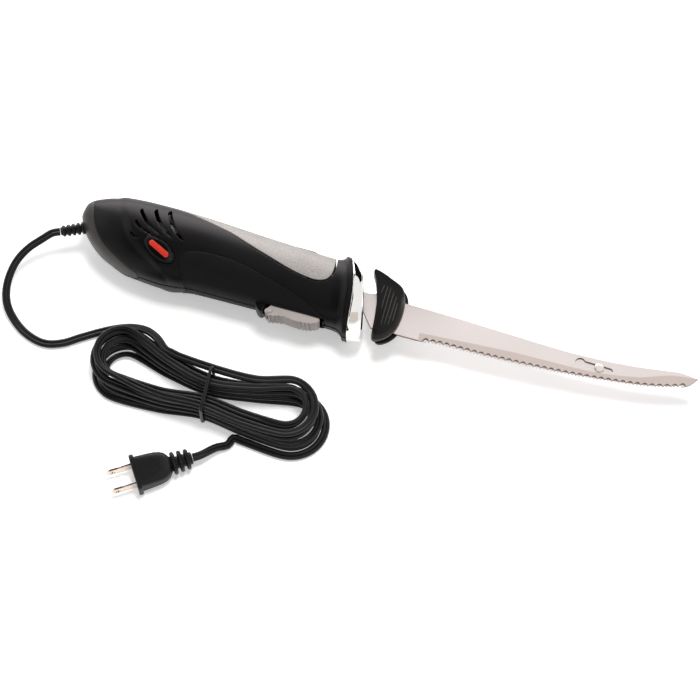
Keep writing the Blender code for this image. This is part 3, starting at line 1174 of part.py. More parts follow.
def straight_ends(points):
    """Make the first and last stretch straight for one cord diameter."""
    points = [np.array(p, float) for p in points]
    diameter = 2 * CORD_RADIUS
    first = points[1] - points[0]
    last = points[-1] - points[-2]
    start = points[0] + diameter * first / np.linalg.norm(first)
    end = points[-1] - diameter * last / np.linalg.norm(last)
    return [points[0], start] + points[1:-1] + [end, points[-1]]


turns = np.linspace(HANK_START, HANK_END, round((HANK_END - HANK_START) * LOOP_POINTS) + 1)
hank_line = straight_ends([hank_point(t) for t in turns])


def least_gap(points, radius):
    """The least gap of a tube to itself, measured between points of its centre line."""
    line = np.array(points)
    steps = [line[:-1] + (line[1:] - line[:-1]) * share for share in (0.0, 0.25, 0.5, 0.75)]
    dense = np.stack(steps, axis=1).reshape(-1, 3)
    run = np.concatenate([[0.0], np.cumsum(np.linalg.norm(np.diff(dense, axis=0), axis=1))])
    apart = np.linalg.norm(dense[:, None] - dense[None], axis=2)
    apart[np.abs(run[:, None] - run[None]) < 40.0] = np.inf
    return float(apart.min() - 2 * radius)


print("least gap of the hank to itself, mm:", round(least_gap(hank_line, CORD_RADIUS), 2))
tube("cord_hank", hank_line, CORD_RADIUS, CORD_BLACK, 1)

boot_profile = [(-9.9, 4.3), (-8.7, 4.3), (-8.7, 3.3), (1.0, 3.3)]
rib_pitch = (BOOT_LENGTH - 1.5) / BOOT_RIBS
for rib in range(BOOT_RIBS):
    base = 1.5 + rib * rib_pitch
    boot_profile += [(base, BOOT_RIB_RADIUS - 0.1 * rib), (base + 0.6 * rib_pitch, BOOT_RIB_RADIUS - 0.1 * rib),
                     (base + 0.65 * rib_pitch, 2.6), (base + 0.95 * rib_pitch, 2.6)]
boot_profile.append((BOOT_LENGTH, 2.5))
boot_turned("strain_relief", boot_profile, finish=CORD_BLACK)

exit_point = boot_foot + boot_axis * (BOOT_LENGTH + GAP)
exit_straight = exit_point + boot_axis * 2 * CORD_RADIUS
hank_way = (hank_line[1] - hank_line[0]) / np.linalg.norm(hank_line[1] - hank_line[0])
lead_end = hank_line[0] - hank_way * GAP
lead_straight = lead_end - hank_way * 2 * CORD_RADIUS
LEAD_ROUTE = ((-200.4, -19.2, 20.2), (-207.2, -26.8, 17.4), (-212.0, -35.4, 13.8), (-213.8, -44.6, 10.2),
              (-212.8, -54.8, 7.0), (-208.6, -63.8, 4.6), (-200.6, -71.6, 3.0), (-189.7, -77.8, 2.4),
              (-177.6, -80.0, 2.35), (-167.0, -76.4, 2.35), (-157.4, -69.2, 2.4), (-147.2, -62.0, 2.7),
              (-137.0, -56.8, 4.6), (-126.4, -54.8, 9.0), (-116.2, -56.4, 14.2), (-107.4, -60.9, 17.6))
lead_line = cord_route(exit_point, exit_straight, LEAD_ROUTE, lead_straight, lead_end, 9.5)
tube("cord_lead", lead_line, CORD_RADIUS, CORD_BLACK)

plug_back = Vector((math.cos(math.radians(PLUG_ANGLE)), math.sin(math.radians(PLUG_ANGLE)), 0.0))
plug_side = Vector((-plug_back.y, plug_back.x, 0.0))
plug_face = Vector((*PLUG_FACE, PLUG_HALF_HEIGHT))
tail_end = plug_face + plug_back * (PLUG_LENGTH + GAP)
tail_straight = tail_end + plug_back * 2 * CORD_RADIUS
leave_way = (hank_line[-1] - hank_line[-2]) / np.linalg.norm(hank_line[-1] - hank_line[-2])
tail_start = hank_line[-1] + leave_way * GAP
tail_leave = tail_start + leave_way * 2 * CORD_RADIUS
TAIL_ROUTE = ((-44.6, -109.0, 2.6), (-50.4, -113.4, 4.0))
tail_line = cord_route(tail_start, tail_leave, TAIL_ROUTE, tail_straight, tail_end, 6.0)
tube("cord_tail", tail_line, CORD_RADIUS, CORD_BLACK)

lengths = [float(np.sum(np.linalg.norm(np.diff(np.array(line, float), axis=0), axis=1)))
           for line in (lead_line, hank_line, tail_line)]
print("cord lengths, mm: lead %.0f, hank %.0f, tail %.0f" % tuple(lengths))

TIE_X = HANK_MIDDLE[0]
tie_clear = CORD_RADIUS + TIE_RADIUS + 2 * GAP + 0.1
tie_far = HANK_MIDDLE[1] + HANK_WAIST + 1.5 * HANK_WAIST_STEP + tie_clear
tie_near = HANK_MIDDLE[1] - HANK_WAIST - HANK_WAIST_STEP - tie_clear
tie_low = TIE_RADIUS + 0.1
tie_high = HANK_LIFT + 3 * HANK_LAYER + CORD_RADIUS + tie_clear
tie_band = rounded(tie_near, tie_low, tie_far, tie_high, tie_clear, 4)
tie_points = [(TIE_X, *point) for point in tie_band]
tube("cord_tie", tie_points, TIE_RADIUS, CORD_BLACK, 1, cyclic=True)


# Plug

def plug_ring(distance, half_width, half_height, power, count=16):
    """A section across the plug, a distance behind its face."""
    ring = []
    for i in range(count):
        a = 2 * math.pi * (i + 0.5) / count
        c, s = math.cos(a), math.sin(a)
        across = half_width * math.copysign(abs(c) ** (2 / power), c)
        up = half_height * math.copysign(abs(s) ** (2 / power), s)
        ring.append(plug_face + plug_back * distance + plug_side * across + Vector((0, 0, up)))
    return ring


FLANGE = 2.8
plug_rows = [(0.0, PLUG_HALF_WIDTH, PLUG_HALF_HEIGHT, 6), (FLANGE, PLUG_HALF_WIDTH, PLUG_HALF_HEIGHT, 6),
             (FLANGE + 0.1, PLUG_HALF_WIDTH - 1.6, PLUG_HALF_HEIGHT - 0.9, 6),
             (12.0, PLUG_HALF_WIDTH - 2.0, PLUG_HALF_HEIGHT - 1.2, 5), (21.0, 8.2, 5.2, 4), (23.4, 4.4, 4.0, 3)]
for ring in range(3):
    start = 24.2 + 4.2 * ring
    size = 7.2 - 0.35 * ring
    plug_rows += [(start, size - 0.3, size - 0.8, 2.4), (start + 2.4, size - 0.3, size - 0.8, 2.4),
                  (start + 2.7, 3.9, 3.5, 2.2), (start + 4.0, 3.8, 3.4, 2.2)]
plug_rows.append((PLUG_LENGTH, 3.4, 3.0, 2.2))
plug = loft("plug_body", [plug_ring(*row) for row in plug_rows], CORD_BLACK)


def plug_plate(name, outline, across, thick, finish=None, collection=PARTS):
    """An outline along the plug and up, as a plate standing on edge."""
    rings = []
    for offset in (across - thick / 2, across + thick / 2):
        rings.append([plug_face + plug_back * along_plug + plug_side * offset + Vector((0, 0, up))
                      for along_plug, up in outline])
    return loft(name, rings, finish, collection)


for number, side in ((1, -1), (2, 1)):
    across = side * PRONG_SPACING / 2
    high = PRONG_HEIGHT / 2
    outline = [(PRONG_ROOT - 0.6, -high), (PRONG_ROOT - 0.6, high), (-PRONG_LENGTH + 2.2, high),
               (-PRONG_LENGTH + 0.6, high - 1.2), (-PRONG_LENGTH, high - 2.2), (-PRONG_LENGTH, -high + 2.2),
               (-PRONG_LENGTH + 0.6, -high + 1.2), (-PRONG_LENGTH + 2.2, -high)]
    prong = plug_plate(f"plug_prong_{number}", outline, across, PRONG_THICK, NICKEL)
    eye = [(-PRONG_LENGTH + 4.0 + 1.6 * math.cos(2 * math.pi * i / 14), 1.6 * math.sin(2 * math.pi * i / 14))
           for i in range(14)]
    cut(prong, plug_plate(f"prong_eye_{number}", eye, across, PRONG_THICK + 2, collection=CUTTERS))
    pocket = [(PRONG_ROOT - 0.6 + GAP, -high - GAP), (PRONG_ROOT - 0.6 + GAP, high + GAP), (-2.0, high + GAP),
              (-2.0, -high - GAP)]
    cut(plug, plug_plate(f"prong_pocket_{number}", pocket, across, PRONG_THICK + 2 * GAP, collection=CUTTERS))


# Leads inside the handle

for name, side in (("live_wire", 1), ("neutral_wire", -1)):
    z = MID + side * 1.5
    inlet = boot_foot - boot_axis * 10.6
    route = [(inlet.x, inlet.y, z), (inlet.x + 2.4, inlet.y - 1.6, z), (ROTOR_X - 33.2, -4.4, z),
             (ROTOR_X - 32.6, -9.4, z), (ROTOR_X - 31.6, -13.5, z),
             (ROTOR_X - 26.5, -14.6, z), (ROTOR_X - 14.5, -21.2, z), (ROTOR_X, -22.4, z), (ROTOR_X + 14.0, -22.4, z),
             (ROTOR_X + 26.0, -21.6, z), (ROTOR_X + 36.0, -20.0, z), ((ROTOR_X + 36.0 + WHEEL_X - 4.0) / 2, -19.0, z),
             (WHEEL_X - 4.0, -15.5, MID + side * 2.6), (WHEEL_X + 5.0, -12.0, MID + side * 3.2),
             (switch_low[0] - 3.5 - GAP, -11.0, MID + side * 3.2)]
    tube(name, route[:4] + list(smooth_route(route[4:], 9.0)), 0.8, CORD_BLACK, 1)


# Joint axes: a moving piece hangs from an empty on its axis

def carried(axis_name, place, names, under=None):
    """Parent pieces to an empty at a joint's place, leaving them where they are."""
    empty = bpy.data.objects.new(axis_name, None)
    empty.empty_display_size = 0.01
    empty.location = Vector(place) * MM
    PARTS.objects.link(empty)
    bpy.context.view_layer.update()
    if under:
        empty.parent = under
        empty.matrix_parent_inverse = under.matrix_world.inverted()
        bpy.context.view_layer.update()
    for name in names:
        piece = bpy.data.objects[name]
        piece.parent = empty
        piece.matrix_parent_inverse = empty.matrix_world.inverted()
    return empty


carried("rotor_axis", (ROTOR_X, MOTOR_Y, MID),
        ("motor_shaft", "rotor_core", "front_winding", "rear_winding", "commutator", "fan", "worm"))
carried("wheel_axis", (WHEEL_X, WHEEL_Y, MID), ("crank_wheel",))
carried("trigger_axis", (TRIGGER_PIN_X, TRIGGER_PIN_Y, MID), ("trigger",))
carried("plunger_axis", (PLUNGER_X, plunger_low, MID), ("switch_plunger",))
carried("button_axis", (BUTTON_X, BUTTON_TOP, MID), ("release_button",))
right_drive = carried("right_drive_axis", (WHEEL_X, WHEEL_Y, MID), ("right_driver",))
left_drive = carried("left_drive_axis", (WHEEL_X, WHEEL_Y, MID), ("left_driver",))
carried("right_blade_axis", (0, TANG_MID_Y, MID), ("right_blade", "right_guard"), right_drive)
carried("left_blade_axis", (0, TANG_MID_Y, MID), ("left_blade", "left_guard", "blade_rivet"), left_drive)
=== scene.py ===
import math

import bpy
import numpy as np
from mathutils import Matrix, Vector


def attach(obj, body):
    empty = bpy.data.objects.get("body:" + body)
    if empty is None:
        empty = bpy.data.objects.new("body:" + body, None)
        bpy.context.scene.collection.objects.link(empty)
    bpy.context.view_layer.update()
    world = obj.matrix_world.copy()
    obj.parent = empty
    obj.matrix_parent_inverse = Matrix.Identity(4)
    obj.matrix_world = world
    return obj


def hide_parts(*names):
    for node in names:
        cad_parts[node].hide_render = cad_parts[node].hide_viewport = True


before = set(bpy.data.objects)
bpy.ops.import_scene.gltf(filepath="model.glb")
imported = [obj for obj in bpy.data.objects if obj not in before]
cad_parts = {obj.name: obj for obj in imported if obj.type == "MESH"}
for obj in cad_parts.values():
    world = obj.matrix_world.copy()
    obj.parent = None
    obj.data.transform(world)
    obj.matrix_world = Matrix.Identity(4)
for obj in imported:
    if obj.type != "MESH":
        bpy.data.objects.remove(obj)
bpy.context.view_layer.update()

SIDES = (("right", 1), ("left", -1))

# Camera, floor and lights
# The knife lies on a white table and is seen from above its belly side.
# Soft boxes stand behind, to the left and overhead, and a pale room fills in the rest.

MID = 23.0                     # the knife's mid plane above the table, mm
AZIMUTH, ELEVATION = math.radians(18.3), math.radians(65.0)
DISTANCE = 1.4                 # metres
FRAME, FOCAL = 700, 2240.0     # pixels
SHOWN_RIGHT, SHOWN_UP = 2, 50  # where the knife's origin shows from the frame's middle, pixels
FLOOR_LIFT = 0.40              # the table's own light, for the camera and mirrors only

scene = bpy.context.scene
scene.view_settings.view_transform = "Standard"
away = Vector((math.sin(AZIMUTH) * math.cos(ELEVATION), -math.cos(AZIMUTH) * math.cos(ELEVATION),
    math.sin(ELEVATION)))
across = Vector((math.cos(AZIMUTH), math.sin(AZIMUTH), 0.0))
upward = away.cross(across)
eye = Vector((0, 0, MID / 1000)) + (away - (across * SHOWN_RIGHT + upward * SHOWN_UP) / FOCAL) * DISTANCE
camera = bpy.data.objects.new("camera", bpy.data.cameras.new("camera"))
camera.data.lens = camera.data.sensor_width * FOCAL / FRAME
camera.data.clip_end = 20
camera.matrix_world = Matrix.Translation(eye) @ Matrix((across, upward, away)).transposed().to_4x4()
scene.collection.objects.link(camera)
scene.camera = camera


def adder(tree):
    """A short way to add nodes to a tree, with their sockets and settings given by name."""
    def add(kind, **settings):
        node = tree.nodes.new(kind)
        for key, value in settings.items():
            if key in node.inputs:
                node.inputs[key].default_value = value
            else:
                setattr(node, key, value)
        return node

    return add


def new_material(name):
    """A new material, its shader, and short ways to add nodes and links to it."""
    made = bpy.data.materials.new(name)
    made.use_nodes = True
    tree = made.node_tree
    return made, tree.nodes["Principled BSDF"], adder(tree), tree.links.new


def seen_rays(add, join):
    """A value that is 1 for the camera and in mirrors and glass, and nought for all other light."""
    rays = add("ShaderNodeLightPath").outputs
    mirrors = add("ShaderNodeMath", operation="MAXIMUM")
    seen = add("ShaderNodeMath", operation="MAXIMUM")
    join(rays["Is Camera Ray"], seen.inputs[0])
    join(rays["Is Glossy Ray"], mirrors.inputs[0])
    join(rays["Is Transmission Ray"], mirrors.inputs[1])
    join(mirrors.outputs[0], seen.inputs[1])
    return seen.outputs[0]


room = bpy.data.worlds.new("room")
room.use_nodes = True
scene.world = room
add, join = adder(room.node_tree), room.node_tree.links.new
pale = add("ShaderNodeBackground", Color=(1, 0.99, 0.98, 1), Strength=0.35)
white = add("ShaderNodeBackground", Color=(1, 1, 1, 1), Strength=1.0)
mixed_light = add("ShaderNodeMixShader")
for socket, source in enumerate((seen_rays(add, join), pale.outputs[0], white.outputs[0])):
    join(source, mixed_light.inputs[socket])
join(mixed_light.outputs[0], room.node_tree.nodes["World Output"].inputs[0])


def staged_card(name, corners, material):
    """One flat face from corners in metres, part of the stage and not of the knife."""
    mesh = bpy.data.meshes.new(name)
    mesh.from_pydata(corners, [], [tuple(range(len(corners)))])
    mesh.materials.append(material)
    card = bpy.data.objects.new(name, mesh)
    scene.collection.objects.link(card)
    return card


table_white, shader, add, join = new_material("table_white")
for socket, value in (("Base Color", (0.96, 0.96, 0.96, 1)), ("Roughness", 0.9), ("Specular IOR Level", 0.1),
        ("Emission Color", (1, 1, 1, 1))):
    shader.inputs[socket].default_value = value
lift = add("ShaderNodeMath", operation="MULTIPLY")
lift.inputs[1].default_value = FLOOR_LIFT
join(seen_rays(add, join), lift.inputs[0])
join(lift.outputs[0], shader.inputs["Emission Strength"])
staged_card("floor", [(-6, -6, 0), (6, -6, 0), (6, 6, 0), (-6, 6, 0)], table_white)


def soft_box(name, place, aim, size, watts, colour=(1, 1, 1)):
    """A rectangular lamp at a place in metres, turned to face a point."""
    lamp = bpy.data.lights.new(name, "AREA")
    lamp.shape = "RECTANGLE"
    lamp.size, lamp.size_y = size
    lamp.energy = watts
    lamp.color = colour
    made = bpy.data.objects.new(name, lamp)
    made.location = place
    made.rotation_euler = (Vector(aim) - Vector(place)).to_track_quat("-Z", "Y").to_euler()
    scene.collection.objects.link(made)
    return made


soft_box("back_box", (-0.25, 1.5, 1.0), (-0.05, 0, 0), (2.4, 0.9), 6, (1.0, 0.95, 0.985))
soft_box("left_box", (-1.6, 0.1, 1.2), (0, 0, 0), (1.0, 1.0), 3)
top_box = soft_box("top_box", (0.05, 0.22, 1.4), (0.05, 0, 0), (0.4, 0.4), 13, (1.0, 0.98, 0.96))
top_box.visible_glossy = False


def mirror_card(name, low, high, colour=(0.004, 0.004, 0.004), strength=1.0):
    """A card that only mirrors see, black unless it has a colour, between two corners in metres.

    It stands upright on the line between them, or lies level if they are equally high.
    """
    (x1, y1, z1), (x2, y2, z2) = low, high
    second_y, last_y = (y1, y2) if z1 == z2 else (y2, y1)
    made, _, add, join = new_material(name)
    glow = add("ShaderNodeEmission", Color=(*colour, 1), Strength=strength)
    join(glow.outputs[0], made.node_tree.nodes["Material Output"].inputs[0])
    card = staged_card(name, [low, (x2, second_y, z1), high, (x1, last_y, z2)], made)
    card.visible_camera = card.visible_diffuse = card.visible_shadow = card.visible_transmission = False


mirror_card("card_over_handle", (-0.42, -0.75, 0.42), (-0.11, 0.34, 0.42))
mirror_card("card_behind_collar", (-0.014, 0.06, 0.03), (0.042, 0.06, 0.115))
mirror_card("bright_card_behind", (-0.60, 0.35, 0.03), (-0.02, 0.35, 0.36), (1.0, 0.93, 0.96), 6.5)
mirror_card("warm_card_in_front", (-0.05, -0.5, 0.08), (0.5, -0.4, 0.56), (0.74, 0.67, 0.60))

# Mains cord
# A flat two-core lead, two black vinyl covered cores side by side with a groove between.
# It leaves the boot, lies round behind the handle and is folded into a hank of six and a half turns.

CORD_WIDTH = 5.3
CORE_RADIUS = 1.47
CORD_RADIUS = 2.3              # of the round tube that stands for it in the solids
LIP_X, REAR_X = -2.8, -180.6
BOOT_FOOT, BOOT_DIRECTION, BOOT_LENGTH = (-175.6, -4.0), (-0.88, -0.475), 17.0
GAP = 0.3
HANK_MIDDLE, HANK_TURN = (-66.0, -86.5), 2.0
HANK_BOW, HANK_REACH, HANK_FAN = (8.6, 3.0), (2.0, -3.2), ((-1.0, 2.6), (-1.8, 1.0))
HANK_HALF_LENGTH, HANK_END_RADIUS, HANK_WAIST = 77.0, 11.5, 3.6
HANK_STEP, HANK_WAIST_STEP, HANK_LAYER, HANK_LIFT = 5.3, 6.0, 5.4, 2.2
LOOP_POINTS = 24
HANK_START, HANK_END = -1 / LOOP_POINTS, 6 + 11 / LOOP_POINTS
PLUG_FACE, PLUG_ANGLE, PLUG_HALF_HEIGHT, PLUG_LENGTH = (-91.4, -147.6), 36.5, 7.0, 37.0
LEAD_ROUTE = ((-200.4, -19.2, 20.2), (-207.2, -26.8, 17.4), (-212.0, -35.4, 13.8), (-213.8, -44.6, 10.2),
    (-212.8, -54.8, 7.0), (-208.6, -63.8, 4.6), (-200.6, -71.6, 3.0), (-189.7, -77.8, 2.4),
    (-177.6, -80.0, 2.35), (-167.0, -76.4, 2.35), (-157.4, -69.2, 2.4), (-147.2, -62.0, 2.7),
    (-137.0, -56.8, 4.6), (-126.4, -54.8, 9.0), (-116.2, -56.4, 14.2), (-107.4, -60.9, 17.6))
TAIL_ROUTE = ((-44.6, -109.0, 2.6), (-50.4, -113.4, 4.0))


def smoothstep(t):
    """An even ease from 0 to 1."""
    t = np.clip(t, 0.0, 1.0)
    return t * t * (3 - 2 * t)


def unit(v):
    """Vectors scaled to length 1."""
    return v / np.maximum(np.linalg.norm(v, axis=-1, keepdims=True), 1e-12)


def run_along(line):
    """The distance run along a line at each of its points."""
    return np.concatenate([[0.0], np.cumsum(np.linalg.norm(np.diff(line, axis=0), axis=1))])


def read_at(line, run, at):
    """Points of a line at distances along it."""
    return np.stack([np.interp(at, run, column) for column in line.T], axis=1)


def arc(start, stop, steps):
    """Cosine and sine of evenly spaced angles, given in degrees."""
    a = np.radians(np.linspace(start, stop, steps))
    return np.stack([np.cos(a), np.sin(a)], axis=1)


def circle(count):
    """Cosine and sine of angles evenly spaced all round."""
    return arc(0, 360, count + 1)[:-1]


def smooth_route(points, spacing, fine=17):
    """A smooth curve through the points, its knots a root of their distance apart, read evenly."""
    anchors = np.array(points, float)
    padded = np.vstack([2 * anchors[0] - anchors[1], anchors, 2 * anchors[-1] - anchors[-2]])
    p0, p1, p2, p3 = padded[:-3, None], padded[1:-2, None], padded[2:-1, None], padded[3:, None]
    knot = lambda a, b: np.sqrt(np.linalg.norm(b - a, axis=2, keepdims=True))
    t1 = knot(p0, p1)
    t2 = t1 + knot(p1, p2)
    t3 = t2 + knot(p2, p3)
    t = t1 + (t2 - t1) * (np.arange(fine - 1) / (fine - 1))[None, :, None]
    a1 = ((t1 - t) * p0 + t * p1) / t1
    a2 = ((t2 - t) * p1 + (t - t1) * p2) / (t2 - t1)
    a3 = ((t3 - t) * p2 + (t - t2) * p3) / (t3 - t2)
    b1 = ((t2 - t) * a1 + t * a2) / t2
    b2 = ((t3 - t) * a2 + (t - t1) * a3) / (t3 - t1)
    line = np.vstack([(((t2 - t) * b1 + (t - t1) * b2) / (t2 - t1)).reshape(-1, 3), anchors[-1]])
    run = run_along(line)
    at = np.linspace(0.0, run[-1], max(2, round(run[-1] / spacing) + 1))
    return read_at(line, run, at)


def hank_line(turn):
    """The hank's centre line over an array of turns, counted from the far run's waist.

    Each of the four layers holds one and a half turns, spiralling in and out in turn. Half an
    oval is two straight runs, drawn together at the waist, and a round end; the layers fan
    apart a little at the ends.
    """
    legs = np.array((0.0, 1.5, 3.0, 4.5))
    leg = np.clip(np.searchsorted(legs, turn, side="right") - 1, 0, 3)
    ring = np.where(leg % 2 == 0, 1.5 - (turn - legs[leg]), turn - legs[leg])
    layer = 3.0 - sum(smoothstep((turn - reversal) * LOOP_POINTS / 4.0 + 0.5) for reversal in legs[1:])
    quarter = (turn % 1.0) * 4.0
    part = quarter.astype(int)
    quarter_points, run_points = LOOP_POINTS / 4.0, LOOP_POINTS / 12.0
    local = (quarter - part) * quarter_points
    local = np.where(part % 2 == 1, quarter_points - local, local)
    end_radius = HANK_END_RADIUS + HANK_STEP * ring
    waist = HANK_WAIST + HANK_WAIST_STEP * ring
    turn_x = HANK_HALF_LENGTH - CORD_RADIUS - HANK_END_RADIUS - 1.5 * HANK_STEP
    straight = local < run_points
    a = (local - run_points) / (quarter_points - run_points) * math.pi / 2
    u = np.where(straight, turn_x * local / run_points, turn_x + end_radius * np.sin(a))
    v = np.where(straight, waist + (end_radius - waist) * smoothstep(local / run_points),
        end_radius * np.cos(a))
    u = np.where((part == 2) | (part == 3), -u, u)
    v = np.where((part == 1) | (part == 2), -v, v)
    spread = smoothstep((np.abs(u) - 10.0) / 50.0)
    fan = layer - 1.5
    front = (u > 0).astype(int)
    bow, reach = np.array(HANK_BOW)[front], np.where(front == 1, HANK_REACH[1], -HANK_REACH[0])
    fans = np.array(HANK_FAN)[front]
    lift = HANK_LIFT * smoothstep(1.0 - np.abs(u) / 34.0)
    v = v + spread * (bow + fans[:, 1] * fan)
    u = u + spread * (reach + fans[:, 0] * fan)
    c, s = math.cos(math.radians(HANK_TURN)), math.sin(math.radians(HANK_TURN))
    return np.stack([HANK_MIDDLE[0] + u * c - v * s, HANK_MIDDLE[1] + u * s + v * c,
        CORD_RADIUS + HANK_LAYER * layer + lift], axis=1)


boot_axis = unit(np.array((*BOOT_DIRECTION, 0.0)))
boot_tip = np.array((*BOOT_FOOT, MID)) + boot_axis * (BOOT_LENGTH + GAP)
turns = np.linspace(HANK_START, HANK_END, round((HANK_END - HANK_START) * LOOP_POINTS) + 1)
hank = hank_line(turns)
hank_way, leave_way = unit(hank[1] - hank[0]), unit(hank[-1] - hank[-2])
hank[1] = hank[0] + 2 * CORD_RADIUS * hank_way
plug_back = np.array((math.cos(math.radians(PLUG_ANGLE)), math.sin(math.radians(PLUG_ANGLE)), 0.0))
plug_side = np.array((-plug_back[1], plug_back[0], 0.0))
plug_face = np.array((*PLUG_FACE, PLUG_HALF_HEIGHT))
cord_end = plug_face + plug_back * (PLUG_LENGTH + GAP)
cord_points = np.vstack([boot_tip, boot_tip + boot_axis * 4.6, LEAD_ROUTE, hank[0] - hank_way * 4.9, hank,
    hank[-1] + leave_way * 4.9, TAIL_ROUTE, cord_end + plug_back * 4.6, cord_end])
cord_line = smooth_route(cord_points, 2.0, 12)
cord_run = run_along(cord_line)


def piece(name, shape, material, nodes=(), body="handle", sharp=32.0):
    """A shape in millimetres made an object in metres, faces turned outwards, riding on a body.

    A shape is its points and its faces, as arrays of corner numbers, one array for each
    corner count. The signed volume of the whole tells which way the faces look.
    """
    points = np.asarray(shape[0], float)
    mesh = bpy.data.meshes.new(name)
    faces = [np.asarray(f, int) for f in shape[1] if len(f)]
    volume = sum(np.einsum("ij,ij->", points[f[:, 0]], np.cross(points[f[:, k]], points[f[:, k + 1]]))
        for f in faces for k in range(1, f.shape[1] - 1))
    if volume < 0:
        faces = [f[:, ::-1] for f in faces]
    corners = np.concatenate([f.ravel() for f in faces])
    sizes = np.concatenate([np.full(len(f), f.shape[1]) for f in faces])
    mesh.vertices.add(len(points))
    mesh.vertices.foreach_set("co", (points / 1000).ravel())
    mesh.loops.add(len(corners))
    mesh.loops.foreach_set("vertex_index", corners)
    mesh.polygons.add(len(sizes))
    mesh.polygons.foreach_set("loop_start", np.concatenate([[0], np.cumsum(sizes)[:-1]]))
    mesh.update(calc_edges=True)
    mesh.validate()
    mesh.shade_smooth()
    mesh.set_sharp_from_angle(angle=math.radians(sharp))
    mesh.materials.append(material)
    made = bpy.data.objects.new(name, mesh)
    scene.collection.objects.link(made)
    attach(made, body)
    if nodes:
        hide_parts(*nodes)
    return made


def grid_quads(rows, columns, loop_rows=False, loop_columns=False):
    """Corner numbers of the faces of a grid of points, numbered row by row."""
    i = np.arange(rows if loop_rows else rows - 1)[:, None]
    j = np.arange(columns if loop_columns else columns - 1)[None, :]
    i2, j2 = (i + 1) % rows, (j + 1) % columns
    corners = [i * columns + j, i * columns + j2, i2 * columns + j2, i2 * columns + j]
    return np.stack(corners, axis=-1).reshape(-1, 4)


def skin(rings, closed=False):
    """A tube of rings, R by C by 3, as a shape: closed on itself, or ended by flat faces."""
    rows, columns = rings.shape[:2]
    ends = [] if closed else [np.array([np.arange(columns)[::-1], (rows - 1) * columns + np.arange(columns)])]
    return rings.reshape(-1, 3), [grid_quads(rows, columns, closed, True), *ends]


def joined(*shapes):
    """Several shapes as one."""
    firsts = np.cumsum([0] + [len(points) for points, _ in shapes])
    return (np.vstack([points for points, _ in shapes]),
        [f + first for first, (_, faces) in zip(firsts, shapes) for f in faces])


def carried(path, section, roll=None, level=(0, 0, 1)):
    """A section, N by 2 as width and height, carried along a path and rolled about it.

    Width lies level and square to the path, height square to both.
    """
    way = unit(np.gradient(path, axis=0))
    side = unit(np.cross(np.array(level, float), way))
    high = np.cross(way, side)
    roll = np.zeros(len(path)) if roll is None else roll
    c, s = np.cos(roll)[:, None], np.sin(roll)[:, None]
    wide, tall = side * c + high * s, high * c - side * s
    section = np.broadcast_to(section, (len(path), *np.shape(section)[-2:]))
    return path[:, None] + wide[:, None] * section[:, :, :1] + tall[:, None] * section[:, :, 1:]


def finish(name, colour, roughness, metallic=0.0, specular=0.5, grain=0.5, grain_size=0.5, bump=0.0,
        rough_spread=0.06, stretch=1, tone=0.1, mottle_size=14.0, coat=0.0, coat_roughness=0.1):
    """A moulded or metal finish: broad mottling of colour and roughness, and a fine grain.

    Sizes are in millimetres. Stretch draws the grain out across the blade, as grinding does.
    """
    made, shader, add, join = new_material(name)
    where = add("ShaderNodeTexCoord").outputs["Object"]
    place = add("ShaderNodeMapping", Scale=(1.0, 1.0 / stretch, 1.0))
    join(where, place.inputs["Vector"])
    broad = add("ShaderNodeTexNoise", Scale=1000.0 / mottle_size, Detail=3.0, Roughness=0.55)
    fine = add("ShaderNodeTexNoise", Scale=1000.0 / grain_size, Detail=2.0, Roughness=0.6)
    join(where, broad.inputs["Vector"])
    join(place.outputs["Vector"], fine.inputs["Vector"])
    both = add("ShaderNodeMath", operation="ADD")
    for socket, (noise, share) in enumerate(((fine, grain), (broad, 1.0 - grain))):
        weighed = add("ShaderNodeMath", operation="MULTIPLY")
        weighed.inputs[1].default_value = share
        join(noise.outputs["Fac"], weighed.inputs[0])
        join(weighed.outputs[0], both.inputs[socket])
    noise_range = {"From Min": 0.3, "From Max": 0.7}
    shade = add("ShaderNodeMapRange", **noise_range)
    join(both.outputs[0], shade.inputs["Value"])
    ramp = add("ShaderNodeMix", data_type="RGBA")
    ramp.inputs[6].default_value = (*(max(0.0, c * (1 - tone)) for c in colour), 1)
    ramp.inputs[7].default_value = (*(min(1.0, c * (1 + tone)) for c in colour), 1)
    join(shade.outputs["Result"], ramp.inputs[0])
    join(ramp.outputs[2], shader.inputs["Base Color"])
    spread = add("ShaderNodeMapRange", **noise_range, **{"To Min": max(0.02, roughness - rough_spread),
        "To Max": min(1.0, roughness + rough_spread)})
    join(both.outputs[0], spread.inputs["Value"])
    join(spread.outputs["Result"], shader.inputs["Roughness"])
    for socket, value in (("Metallic", metallic), ("Specular IOR Level", specular), ("Coat Weight", coat),
            ("Coat Roughness", coat_roughness)):
        shader.inputs[socket].default_value = value
    if bump:
        relief = add("ShaderNodeBump", Strength=bump, Distance=grain_size / 4000.0)
        join(fine.outputs["Fac"], relief.inputs["Height"])
        join(relief.outputs["Normal"], shader.inputs["Normal"])
    made.diffuse_color = (*colour, 1.0)
    return made


CORD_VINYL = finish("cord_vinyl", (0.0045, 0.0045, 0.005), 0.34, specular=0.30, grain=0.3, grain_size=1.2,
    bump=0.06, mottle_size=22.0)
right_core = (CORD_WIDTH / 2 - CORE_RADIUS, 0) + CORE_RADIUS * arc(-146, 146, 11)
cord_section = np.vstack([right_core, -right_core])
